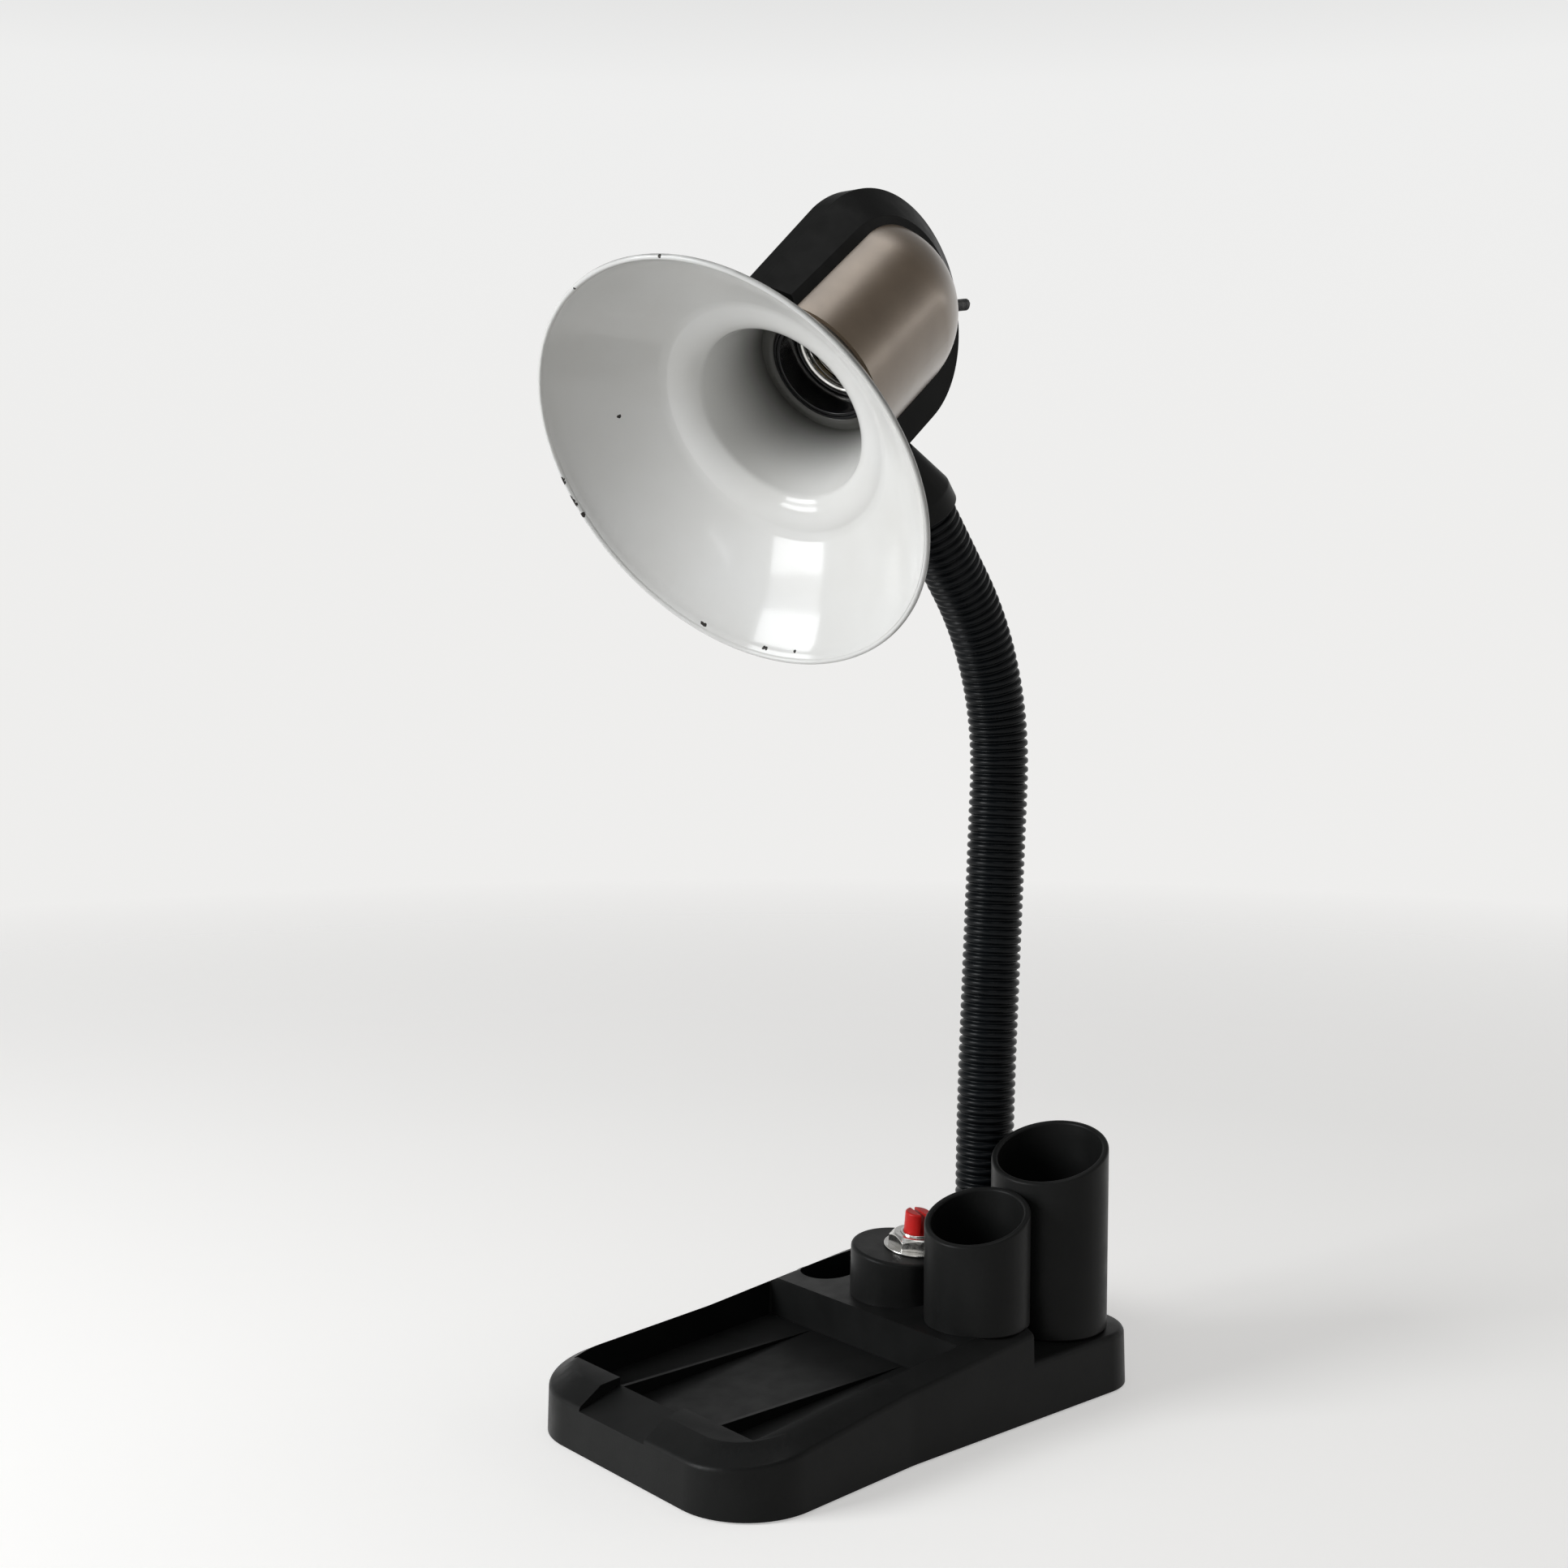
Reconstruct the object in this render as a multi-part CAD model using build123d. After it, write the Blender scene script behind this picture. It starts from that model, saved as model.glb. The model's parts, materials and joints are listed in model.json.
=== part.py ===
from build123d import *
import os
from math import atan2, cos, degrees, radians, sin, sqrt, tan

# Desk lamp: an organiser base with pen cups and a switch, a ribbed flexible neck and a shaded head.
# Millimetres, +Z up, -Y is the front, the origin is on the desk under the middle of the base.

# Gaps and fits
overrun = 1.0  # how far a cutter passes the face that it opens
seat_gap = 0.15  # beside a piece that drops into its seat
thread_gap = 0.1  # beside a screw or a threaded tube in its hole
running_gap = 0.06  # round the turning switch shaft
link_gap = 0.3  # between the rounded ends of the neck core's links

# Base outline
base_length = 175.5
base_rear_width = 100.0
base_front_width = 111.0
flare_run = 70.0  # length over which the sides spread towards the front
flare_radius = 60.0
rear_corner_radius = 16.5
front_corner_radius = 24.0
wall = 2.2
top_wall = 2.6
wall_draft = 2.0  # degrees

# Base heights above the desk
skirt_height = 0.6  # the skirt's lower edge
platform_height = 28.5
ledge_height = 19.5
rim_climb = 5.8  # degrees, the way that the rim climbs from the front to the platform
platform_climb = 4.0  # degrees, the way that the platform climbs on to the rear
tray_floor_height = 15.5  # at the back
tray_fall = 5.0  # how far the tray's floor falls to the front
notch_inner_height = 18.0
notch_outer_height = 13.4
rim_band = 8.0  # width of the sloped band round the top
rim_fall = 4.0  # how far that band falls to the outer edge, round the tray
platform_fall = 2.5
ledge_fall = 1.0
rim_round = 2.0

# Memo tray
tray_border = 15.5  # from the front face to the tray
tray_side_border = 6.1  # beside the tray, at the base's narrow part
tray_shift = 1.6  # to the left of the middle
platform_length = 79.7  # from the tray to the rear
tray_corner_radius = 1.0
rib_spacing = 42.7
rib_shift = 3.6  # to the left of the middle
rib_thickness = 1.4
notch_width = 32.0
notch_shift = 4.8  # to the left of the middle

# Low ledge at the right rear, and the oval clip well at the left
ledge_length = 53.0
ledge_width = 41.0
well_share = 0.68  # of the room between the boss and the base's left side
well_long_share = 1.75  # of its width, the well's length
well_depth = 8.0
well_inset = 55.0  # from the rear

# Slant of the cups' tops
slant_angle = 18.0  # degrees
slant_heading = 19.0  # degrees from the rear towards the left, the way that the tops rise

# Pen cups: outer radius, height of the slanted top's middle, and insets from the right side and the rear
cup_wall = 2.2
cup_floor = 2.0
cup_spigot_step = 1.1
cup_spigot_depth = 4.0
cup_lip_radius = 0.9
short_cup_radius = 16.6
short_cup_height = 62.3
short_cup_side_inset = 19.4
short_cup_inset = 59.4
tall_cup_radius = 18.9
tall_cup_height = 76.4
tall_cup_side_inset = 21.6
tall_cup_inset = 23.7

# Switch boss and switch
boss_radius = 17.0
boss_height = 44.2  # middle of its slanted top
boss_slant_angle = 6.4  # degrees
boss_slant_heading = 95.0  # degrees from the rear towards the left
boss_draft = 1.5  # degrees
boss_wall = 2.2
boss_round = 1.2
boss_cup_gap = 1.4  # between the boss and the short cup
boss_inset = 58.5  # from the rear
switch_rear_shift = 3.04  # from the middle of the boss's top
switch_right_shift = 3.08
bushing_radius = 5.0
bushing_reach = 5.4  # above the boss's top
bushing_flange = 1.5
switch_body_radius = 9.0
switch_body_length = 13.0
washer_radius = 10.2
washer_thickness = 0.9
nut_width = 15.2
nut_height = 4.0
nut_chamfer = 0.6
nut_turn = 11.0  # degrees
shaft_radius = 4.1
shaft_reach = 6.8  # above the bushing
shaft_depth = 6.0  # inside the bushing
shaft_slot_width = 1.8
shaft_slot_depth = 7.0
shaft_round = 0.6
shaft_turn = -20.0  # degrees

# Underside
pad_thickness = 1.2
pad_inset = 5.0
plate_thickness = 2.0
post_radius = 3.6
post_pilot_radius = 1.3
post_inset = 11.0  # from the base's sides and front to a screw
rear_post_inset = 9.0
ledge_post_gap = 4.0  # from the ledge's left side to the screw beside it
screw_radius = 1.5
screw_head_radius = 2.8
screw_head_height = 1.1
screw_depth = 5.5
ballast_border = 6.0  # between the ballast and the tray's sides
ballast_height = 4.4
ballast_corner_radius = 6.0

# Cord inlet at the rear
inlet_inset = 9.5  # from the rear corner's rounding
inlet_height = 11.5
inlet_bore_radius = 3.2
grommet_neck_radius = 4.6
grommet_flange_radius = 6.2
grommet_flange = 1.5

# Neck: where it stands, the way that it bends, and the runs of its middle line
neck_ledge_gap = 13.0  # from the ledge's left side
neck_inset = 20.5  # from the rear
neck_heading = 9.4  # degrees from straight forward towards +X
foot_run = 20.0
lean_run = 60.0
shaft_run = 84.3
bend_run = 71.7
top_run = 35.0
lean_angle = 3.35  # degrees, backwards
head_tilt = 36.5  # degrees, how far the head looks down
stem_lean = 4.9  # degrees, how much more the neck's end leans

# Neck sleeve
sleeve_radius = 9.7
rib_valley_radius = 8.7
sleeve_bore_radius = 7.8
rib_pitch = 2.85
rib_crest_share = 0.4
rib_flank_share = 0.18
sleeve_plain_end = 1.2

# Neck core links and the three places where they bend
core_radius = 7.4
core_bore_radius = 3.3
lower_bend_at = 45.0
middle_bend_at = 125.0
upper_bend_at = 205.0
sleeve_joint_lower = 85.0
sleeve_joint_upper = 165.0
nipple_radius = 4.9
nipple_bore_radius = 3.3
foot_nipple_length = 11.0
foot_nut_width = 15.0
foot_nut_height = 4.0
foot_washer_radius = 10.0
foot_washer_thickness = 1.2
collar_radius = 11.4
collar_height = 9.0

# Cap and stem under the head
stem_reach = 57.9  # from the sleeve's end to the head's axis
stem_set = 9.0  # in front of the head's middle, where the stem's line meets its axis
cap_radius = 11.2
cap_skirt = 4.0
cap_shoulder = 2.5
cap_cone_length = 16.5
cap_top_radius = 5.7
cap_round = 2.0

# Head housing, in the head's frame: X to the side, Y up from the neck, Z along the axis to the shade
housing_front = 34.4
housing_half_width = 12.5
housing_wall = 2.2
shoulder_radius = 31.7
shoulder_centre = -3.3
shoulder_lift = -0.36
crest_half_width = 3.26
crest_radius = 41.9  # over the top
crest_under_radius = 30.0
crest_centre = -6.6
crest_lift = -3.5
crest_fall = 3.1  # degrees, the way that the crest falls to the front
stem_boss_radius = 9.0
stem_boss_height = 29.0  # below the axis, along the stem
stem_nut_height = 4.0
stem_nut_width = 14.0

# Bronze side panels
panel_radius = 25.0
panel_rise = 15.7
panel_wall = 1.4
panel_centre = -6.1
panel_lift = 2.7
panel_seat = 2.5

# Shade, as radius and place along the head's axis
shade_turn = 2.94  # degrees, how much less the shade looks down than the head
rim_radius = 64.7
rim_place = 74.7
rim_bead_radius = 0.8
crease_radius = 37.0
crease_place = 49.8
throat_radius = 27.4
throat_place = 45.4
throat_end_radius = 21.0
throat_end_place = 19.4
flare_sag = 2.4
shade_wall = 0.9

# Lampholder and the bridge that carries it
bridge_thickness = 3.0
bridge_half_width = 9.5
bridge_rim = 1.2
bridge_rim_height = 2.5
holder_radius = 16.2
holder_wall = 1.2
holder_reach = 1.5  # in front of the bridge
holder_shoulder = 3.4
holder_shoulder_radius = 18.6
ring_radius = 17.3
ring_round = 0.5
shell_place = 11.5
shell_length = 20.0
shell_bore_radius = 13.3
shell_wall = 0.6
shell_lip_radius = 14.7
shell_lip = 0.6
holder_floor = 6.0
contact_radius = 4.0
contact_height = 2.0

# Rear screw and the clip that it holds
rear_screw_radius = 1.9
rear_screw_reach = 9.5  # out of the head's back
rear_screw_depth = 9.0
rear_screw_slot_width = 0.7
rear_screw_slot_depth = 1.0
rear_screw_drop = 27.0  # degrees below the head's axis
clip_length = 7.0
clip_width = 14.0
clip_height = 10.0

# Derived places
half_length = base_length / 2
half_rear_width = base_rear_width / 2
tray_front_y = tray_border - half_length
tray_length = base_length - tray_border - platform_length
tray_width = base_rear_width - 2 * tray_side_border
divider_y = tray_front_y + tray_length
ledge_front_y = half_length - ledge_length
ledge_left_x = half_rear_width - ledge_width
short_cup_x = half_rear_width - short_cup_side_inset
short_cup_y = half_length - short_cup_inset
tall_cup_x = half_rear_width - tall_cup_side_inset
tall_cup_y = half_length - tall_cup_inset
boss_x = short_cup_x - short_cup_radius - boss_radius - boss_cup_gap
boss_y = half_length - boss_inset
well_room = boss_x - boss_radius + half_rear_width
well_width = well_room * well_share
well_length = well_width * well_long_share
well_x = well_room / 2 - half_rear_width
well_y = half_length - well_inset
neck_x = ledge_left_x - neck_ledge_gap
neck_y = half_length - neck_inset
inlet_x = rear_corner_radius + inlet_inset - half_rear_width
plate_bottom = pad_thickness
plate_top = plate_bottom + plate_thickness
bridge_front = throat_end_place - seat_gap
bridge_back = bridge_front - bridge_thickness
holder_front = bridge_front + holder_reach
shell_back = shell_place - shell_length
holder_back = shell_back - contact_height - holder_floor
sleeve_length = foot_run + lean_run + shaft_run + bend_run + top_run
side = Vector(cos(radians(neck_heading)), sin(radians(neck_heading)), 0)
ahead = Vector(sin(radians(neck_heading)), -cos(radians(neck_heading)), 0)
upward = Vector(0, 0, 1)


def drum(radius, bottom, top):
    """A solid cylinder about Z between two heights."""
    return Pos(0, 0, bottom) * Cylinder(radius, top - bottom, align=(Align.CENTER, Align.CENTER, Align.MIN))


def tube(radius, bore, bottom, top):
    """A hollow cylinder about Z between two heights."""
    return drum(radius, bottom, top) - drum(bore, bottom - overrun, top + overrun)


def hex_prism(width, bottom, top):
    """A hexagonal prism about Z, by its width across the flats."""
    profile = RegularPolygon(width / 2, 6, major_radius=False)
    return Pos(0, 0, bottom) * extrude(profile, amount=top - bottom)


def box_between(low, high):
    """A box between two corners."""
    size = [b - a for a, b in zip(low, high)]
    middle = [(a + b) / 2 for a, b in zip(low, high)]
    return Pos(*middle) * Box(*size)


def side_prism(points):
    """An outline in Y and Z, drawn right across the base."""
    profile = make_face(Polyline(*points, close=True))
    return extrude(Plane.YZ * profile, amount=base_front_width, both=True)


# Base shell
def base_outline(inset):
    """The base seen from above, drawn in by an inset."""
    rear, front = half_rear_width, base_front_width / 2
    flare_y = flare_run - half_length
    right = [(front, -half_length), (rear, flare_y), (rear, half_length)]
    left = [(-x, y) for x, y in reversed(right)]
    outline = make_face(Polyline(*right, *left, close=True))
    rows = outline.vertices().group_by(Axis.Y)
    outline = fillet(rows[0], front_corner_radius)
    outline = fillet(outline.vertices().group_by(Axis.Y)[-1], rear_corner_radius)
    bends = [v for v in outline.vertices() if abs(v.Y - flare_y) < overrun]
    outline = fillet(bends, flare_radius)
    return offset(outline, -inset) if inset else outline


def drafted_body(inset, bottom, top):
    """The base outline raised between two heights, leaning in with the walls' draft."""
    return Pos(0, 0, bottom) * extrude(base_outline(inset), amount=top - bottom, taper=wall_draft)


def roof(top, fall):
    """Everything under a flat top with the sloped band round it."""
    height = fall * (rim_band + overrun) / rim_band
    eave = top - height
    room = Pos(0, 0, eave - base_length) * extrude(Rectangle(2 * base_length, 2 * base_length), amount=base_length)
    spread = degrees(atan2(rim_band, fall))
    return room + Pos(0, 0, eave) * extrude(base_outline(-overrun), amount=height, taper=spread)


def climbing_roof(fall, angle):
    """A roof that climbs to the rear through the tray's back edge."""
    hinge = Pos(0, divider_y, platform_height)
    return hinge * Rot(angle, 0, 0) * hinge.inverse() * roof(platform_height, fall)


def rounded_under(roofing):
    """The drafted base block under a roof, with its outer edge rounded."""
    block = drafted_body(0, skirt_height, 2 * platform_height) & roofing
    upright = sin(radians(slant_angle))
    walls = [f for f in block.faces() if abs(f.normal_at().Z) < upright]
    bands = ShapeList([e for f in block.faces() if f.normal_at().Z > upright for e in f.edges()])
    rim = [e for f in walls for e in f.edges() if any(e.is_same(other) for other in bands)]
    return fillet(ShapeList(rim), rim_round)


def sloping_block():
    """The block with the rim that climbs from the front, less steeply beside the platform."""
    climbing = rounded_under(climbing_roof(rim_fall, rim_climb))
    return climbing & rounded_under(climbing_roof(platform_fall, platform_climb))


def ledge_block(grow, bottom):
    """The room of the low ledge, grown to the left and front, from a height upwards."""
    low = (ledge_left_x - grow, ledge_front_y - grow, bottom)
    return box_between(low, (base_front_width, base_length, base_length))


def base_hollow():
    """The room under the tray, platform and ledge, open below."""
    front, rear = -half_length, half_length
    step_y = divider_y + wall
    profile = [
        (front, -overrun),
        (front, notch_outer_height - top_wall),
        (tray_front_y, tray_floor(tray_front_y) - top_wall),
        (step_y, tray_floor_height - top_wall),
        (step_y, platform_height - top_wall),
        (rear, platform_height - top_wall),
        (rear, -overrun),
    ]
    hollow = drafted_body(wall, -overrun, platform_height) & side_prism(profile)
    return hollow - ledge_block(wall, ledge_height - top_wall)


def tray_floor(y):
    """The height of the tray's floor at a place along it."""
    return tray_floor_height - tray_fall * (divider_y - y) / tray_length


def tray_cut():
    """The memo tray's room, over a floor that falls to the front."""
    outline = RectangleRounded(tray_width, tray_length, tray_corner_radius)
    room = Pos(-tray_shift, tray_front_y + tray_length / 2) * extrude(outline, amount=2 * platform_height)
    front, back = tray_front_y - overrun, divider_y + overrun
    return room - side_prism([(front, -overrun), (front, tray_floor(front)), (back, tray_floor(back)), (back, -overrun)])


def tray_ribs():
    """Two thin level-topped wedges on the tray's floor, tallest at the front."""
    front = tray_front_y - overrun
    wedge = Plane.YZ * make_face(Polyline(
        (front, tray_floor(front) - overrun),
        (front, tray_floor_height),
        (divider_y, tray_floor_height),
        (divider_y, tray_floor_height - overrun),
        close=True,
    ))
    rib = extrude(wedge, amount=rib_thickness / 2, both=True)
    return [Pos(place * rib_spacing / 2 - rib_shift, 0, 0) * rib for place in (-1, 1)]


def notch_cut():
    """The opening in the front rim, with a floor that slopes down outwards."""
    slope = (notch_inner_height - notch_outer_height) / tray_border
    front = -half_length - overrun
    profile = Plane.YZ * make_face(Polyline(
        (front, notch_outer_height - slope * overrun),
        (tray_front_y, notch_inner_height),
        (tray_front_y + overrun, notch_inner_height),
        (tray_front_y + overrun, platform_height),
        (front, platform_height),
        close=True,
    ))
    return Pos(-notch_shift, 0, 0) * extrude(profile, amount=notch_width / 2, both=True)


def well_block(grow, bottom, top):
    """The oval clip well's shape, grown sideways."""
    oval = SlotOverall(well_length + 2 * grow, well_width + 2 * grow, rotation=90)
    return Pos(well_x, well_y, bottom) * extrude(oval, amount=top - bottom)


def slant_plane(x, y, height, angle=slant_angle, heading=slant_heading):
    """The slanted plane through a point over a place on the base."""
    rise = Vector(-sin(radians(heading)), cos(radians(heading)), 0)
    normal = upward * cos(radians(angle)) - rise * sin(radians(angle))
    return Plane(origin=(x, y, height), x_dir=rise.cross(upward), z_dir=normal)


def boss_plane():
    """The boss's slanted top."""
    return slant_plane(boss_x, boss_y, boss_height, boss_slant_angle, boss_slant_heading)


def switch_location():
    """Where the switch sits on the boss's top, looking out of it."""
    return boss_plane().location * Pos(switch_rear_shift, -switch_right_shift, 0)


def boss_solid(inset, bottom, drop):
    """The boss as a drafted drum cut by its slanted top."""
    reach = boss_height + boss_radius
    foot = Circle(boss_radius - inset)
    body = Pos(boss_x, boss_y, bottom) * extrude(foot, amount=reach - bottom, taper=boss_draft)
    top = boss_plane().offset(-drop)
    return split(body, bisect_by=top, keep=Keep.BOTTOM)


def boss_outside():
    """The boss with its rounded upper edge."""
    boss = boss_solid(0, platform_height - top_wall, 0)
    return fillet(boss.edges().sort_by(Axis.Z)[-1], boss_round)


def post_places():
    """The four screws of the bottom plate."""
    front_y = post_inset + wall * 2 - half_length
    flare_share = 1 - (front_y + half_length) / flare_run
    spread = (base_front_width / 2 - half_rear_width) * flare_share
    front_x = half_rear_width + spread - post_inset
    rear_x = half_rear_width - post_inset
    rear_y = half_length - rear_post_inset
    return [(-front_x, front_y), (front_x, front_y), (-rear_x, rear_y), (ledge_left_x - ledge_post_gap, rear_y)]


def stepped_cut(x, y, hole, radius, seat):
    """A hole through the top with a level seat round it, open above."""
    step = drum(radius + seat_gap, seat, 2 * platform_height)
    return Pos(x, y, 0) * (step + drum(hole, seat - 2 * top_wall, seat + overrun))


def base_shell():
    """The black moulding: tray, notch, ribs, platform, clip well, switch boss and ledge."""
    outer = sloping_block() - ledge_block(0, 0)
    outer += rounded_under(roof(ledge_height, ledge_fall)) & ledge_block(0, 0)
    shell = outer - base_hollow()
    well_bottom = platform_height - well_depth
    shell += well_block(wall, well_bottom - top_wall, platform_height - overrun)
    shell += boss_outside()
    for x, y in post_places():
        ceiling = platform_height if y > divider_y else tray_floor_height
        shell += Pos(x, y, 0) * drum(post_radius, plate_top, ceiling - top_wall / 2)
    shell -= tray_cut()
    for rib in tray_ribs():
        shell += rib
    shell -= notch_cut()
    shell -= well_block(0, well_bottom, 2 * platform_height)
    shell -= boss_solid(boss_wall, platform_height - 2 * top_wall, top_wall)
    shell -= switch_location() * drum(bushing_radius + thread_gap, -2 * top_wall, overrun)
    spigot_gap = seat_gap - cup_spigot_step
    shell -= stepped_cut(short_cup_x, short_cup_y, short_cup_radius + spigot_gap, short_cup_radius, platform_height)
    shell -= stepped_cut(tall_cup_x, tall_cup_y, tall_cup_radius + spigot_gap, tall_cup_radius, ledge_height)
    shell -= stepped_cut(neck_x, neck_y, nipple_radius + thread_gap, collar_radius, platform_height)
    for x, y in post_places():
        shell -= Pos(x, y, 0) * drum(post_pilot_radius, plate_top - overrun, plate_top + screw_depth)
    shell -= inlet_location() * drum(grommet_neck_radius + seat_gap, -2 * wall, 2 * wall)
    return shell


# Pen cups
def pen_cup(x, y, radius, seat, top):
    """A cup with a slanted, rounded lip and a spigot that drops into the base."""
    bottom = seat - cup_spigot_depth
    body = drum(radius, seat, top + radius) + drum(radius - cup_spigot_step, bottom, seat)
    body -= drum(radius - cup_wall, bottom + cup_floor, top + 2 * radius)
    body = split(Pos(x, y, 0) * body, bisect_by=slant_plane(x, y, top), keep=Keep.BOTTOM)
    normal = slant_plane(x, y, top).z_dir
    lip = [f for f in body.faces() if (f.normal_at() - normal).length < sin(radians(slant_angle)) / 2]
    return fillet(lip[0].edges(), cup_lip_radius)


# Underside
def base_pad():
    """The soft sheet that the lamp stands on."""
    return extrude(base_outline(pad_inset), amount=pad_thickness)


def bottom_plate():
    """The plate that closes the base from below."""
    plate = Pos(0, 0, plate_bottom) * extrude(base_outline(wall + 2 * seat_gap), amount=plate_thickness)
    for x, y in post_places():
        plate -= Pos(x, y, 0) * drum(screw_radius + thread_gap, plate_bottom - overrun, plate_top + overrun)
        plate -= Pos(x, y, 0) * drum(screw_head_radius + seat_gap, 0, plate_bottom + screw_head_height)
    return plate


def plate_screws():
    """Four screws with flush heads."""
    seat = plate_bottom + screw_head_height
    tip = seat + screw_depth - screw_head_height
    thread = post_pilot_radius - thread_gap
    screw = drum(screw_head_radius, plate_bottom, seat) + drum(thread, seat, tip)
    return Compound(children=[Pos(x, y, 0) * screw for x, y in post_places()])


def ballast():
    """The steel plate that steadies the base."""
    width, length = tray_width - 2 * ballast_border, tray_length - 2 * ballast_border
    face = RectangleRounded(width, length, ballast_corner_radius)
    return Pos(-tray_shift, tray_front_y + tray_length / 2, plate_top) * extrude(face, amount=ballast_height)


# Cord inlet
def inlet_location():
    """The middle of the rear wall's hole, looking out to the rear."""
    lean = (inlet_height - skirt_height) * sin(radians(wall_draft))
    origin = (inlet_x, half_length - lean - wall / 2, inlet_height)
    outward = (0, cos(radians(wall_draft)), sin(radians(wall_draft)))
    return Location(Plane(origin=origin, x_dir=(1, 0, 0), z_dir=outward))


def inlet_grommet():
    """The ring that lines the hole for the mains lead, flanged on both sides of the wall."""
    half = wall / 2 + seat_gap
    ring = drum(grommet_neck_radius, -half, half)
    for bottom in (-half - grommet_flange, half):
        ring += drum(grommet_flange_radius, bottom, bottom + grommet_flange)
    ring -= drum(inlet_bore_radius, -base_length / 2, base_length / 2)
    return inlet_location() * ring


# Switch, built upright about the boss's top and then laid on its slant
def switch_body():
    """The switch's case under the boss's top."""
    top = -top_wall - bushing_flange
    body = drum(switch_body_radius, top - switch_body_length, top)
    body -= drum(shaft_radius + running_gap, top - shaft_depth, top + overrun)
    return switch_location() * body


def switch_bushing():
    """The threaded tube with a flange under the boss's top."""
    bushing = drum(bushing_radius, -top_wall, bushing_reach)
    bushing += drum(bushing_radius + 2 * bushing_flange, -top_wall - bushing_flange, -top_wall)
    bushing -= drum(shaft_radius + running_gap, -top_wall - 2 * bushing_flange, bushing_reach + overrun)
    return switch_location() * bushing


def switch_washer():
    """The flat washer on the boss."""
    return switch_location() * tube(washer_radius, bushing_radius + thread_gap, 0, washer_thickness)


def switch_nut():
    """The chromed hexagonal nut, chamfered above."""
    top = washer_thickness + nut_height
    nut = hex_prism(nut_width, washer_thickness, top)
    cone = Pos(0, 0, washer_thickness) * Cone(
        nut_width / 2 + nut_height, nut_width / 2 - nut_chamfer + thread_gap, nut_height,
        align=(Align.CENTER, Align.CENTER, Align.MIN),
    )
    nut = nut & cone
    nut -= drum(bushing_radius + thread_gap, 0, top + overrun)
    return switch_location() * Rot(0, 0, nut_turn) * nut


def switch_shaft():
    """The red shaft, split into two prongs."""
    top = bushing_reach + shaft_reach
    bottom = bushing_reach - shaft_depth - top_wall
    shaft = drum(shaft_radius, bottom, top)
    shaft = fillet(shaft.edges().sort_by(Axis.Z)[-1], shaft_round)
    slot = box_between(
        (-shaft_slot_width / 2, -2 * shaft_radius, top - shaft_slot_depth),
        (shaft_slot_width / 2, 2 * shaft_radius, top + overrun),
    )
    return switch_location() * Rot(0, 0, shaft_turn) * (shaft - slot)


# Neck
def neck_runs():
    """The runs of the neck's middle line: length and the angle that it turns forward."""
    return [
        (foot_run, 0),
        (lean_run, -lean_angle),
        (shaft_run, 0),
        (bend_run, lean_angle + head_tilt + stem_lean),
        (top_run, 0),
    ]


def neck_plane(distance):
    """The cross plane at a distance along the neck, with X kept to the side."""
    point = Vector(neck_x, neck_y, platform_height)
    lean = 0.0
    left = distance
    for length, turn in neck_runs():
        step = min(left, length)
        turned = radians(turn) * step / length
        middle = lean + turned / 2
        chord = step * sin(turned / 2) / (turned / 2) if turned else step
        point = point + (ahead * sin(middle) + upward * cos(middle)) * chord
        lean += turned
        left -= step
    beyond = ahead * sin(lean) + upward * cos(lean)
    return Plane(origin=point + beyond * left, x_dir=side, z_dir=beyond)


def neck_line(start, end):
    """The neck's middle line between two distances, as lines and arcs."""
    ends = [0]
    for length, turn in neck_runs():
        ends.append(ends[-1] + length)
    marks = [start] + [e for e in ends if start < e < end] + [end]
    edges = []
    for a, b in zip(marks, marks[1:]):
        points = [neck_plane(d).origin for d in (a, (a + b) / 2, b)]
        straight = (points[2] - points[0]).get_angle(points[1] - points[0]) < degrees(thread_gap / sleeve_length)
        edges.append(Line(points[0], points[2]) if straight else ThreePointArc(*points))
    return Wire([e for part in edges for e in part.edges()])


def neck_rod(radius, start, end):
    """A round rod along the neck between two distances."""
    return sweep(neck_plane(start) * Circle(radius), path=neck_line(start, end))


def neck_sleeve(start, end):
    """A stretch of the ribbed sleeve with its bore."""
    room = end - start - 2 * sleeve_plain_end
    count = round(room / rib_pitch)
    pitch = room / count
    sections = [(start, rib_valley_radius)]
    for index in range(count):
        foot = start + sleeve_plain_end + index * pitch
        rise = foot + pitch * rib_flank_share
        crest = rise + pitch * rib_crest_share
        fall = crest + pitch * rib_flank_share
        sections += [(foot, rib_valley_radius), (rise, sleeve_radius)]
        sections += [(crest, sleeve_radius), (fall, rib_valley_radius)]
    sections.append((end, rib_valley_radius))
    circles = [neck_plane(place) * Circle(radius) for place, radius in sections]
    bore = neck_rod(sleeve_bore_radius, start, end)
    return loft(circles, ruled=True) - bore


def link_ball(distance, grow):
    """The round end of a core link at a bend."""
    return Pos(*neck_plane(distance).origin) * Sphere(core_radius + grow)


def core_link(start, end, socket, ball):
    """A link of the neck's core: hollow at its lower end for the link below, round at its upper end."""
    low = start + core_radius / 2 if socket else start
    link = neck_rod(core_radius, low, end)
    if ball:
        link += link_ball(end, 0)
    if socket:
        link -= link_ball(start, link_gap)
    return link


def core_bore(start, end):
    """The passage for the lamp's lead along the core."""
    return neck_rod(core_bore_radius, start, end)


def core_foot():
    """The lowest link, with the threaded tube that goes through the platform."""
    link = core_link(0, lower_bend_at, False, True) - core_bore(0, lower_bend_at + 2 * core_radius)
    nipple = tube(nipple_radius, nipple_bore_radius, -foot_nipple_length, 0)
    return link + neck_plane(0).location * nipple


def core_middle(start, end):
    """A link between two bends."""
    return core_link(start, end, True, True) - core_bore(start, end + 2 * core_radius)


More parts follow.
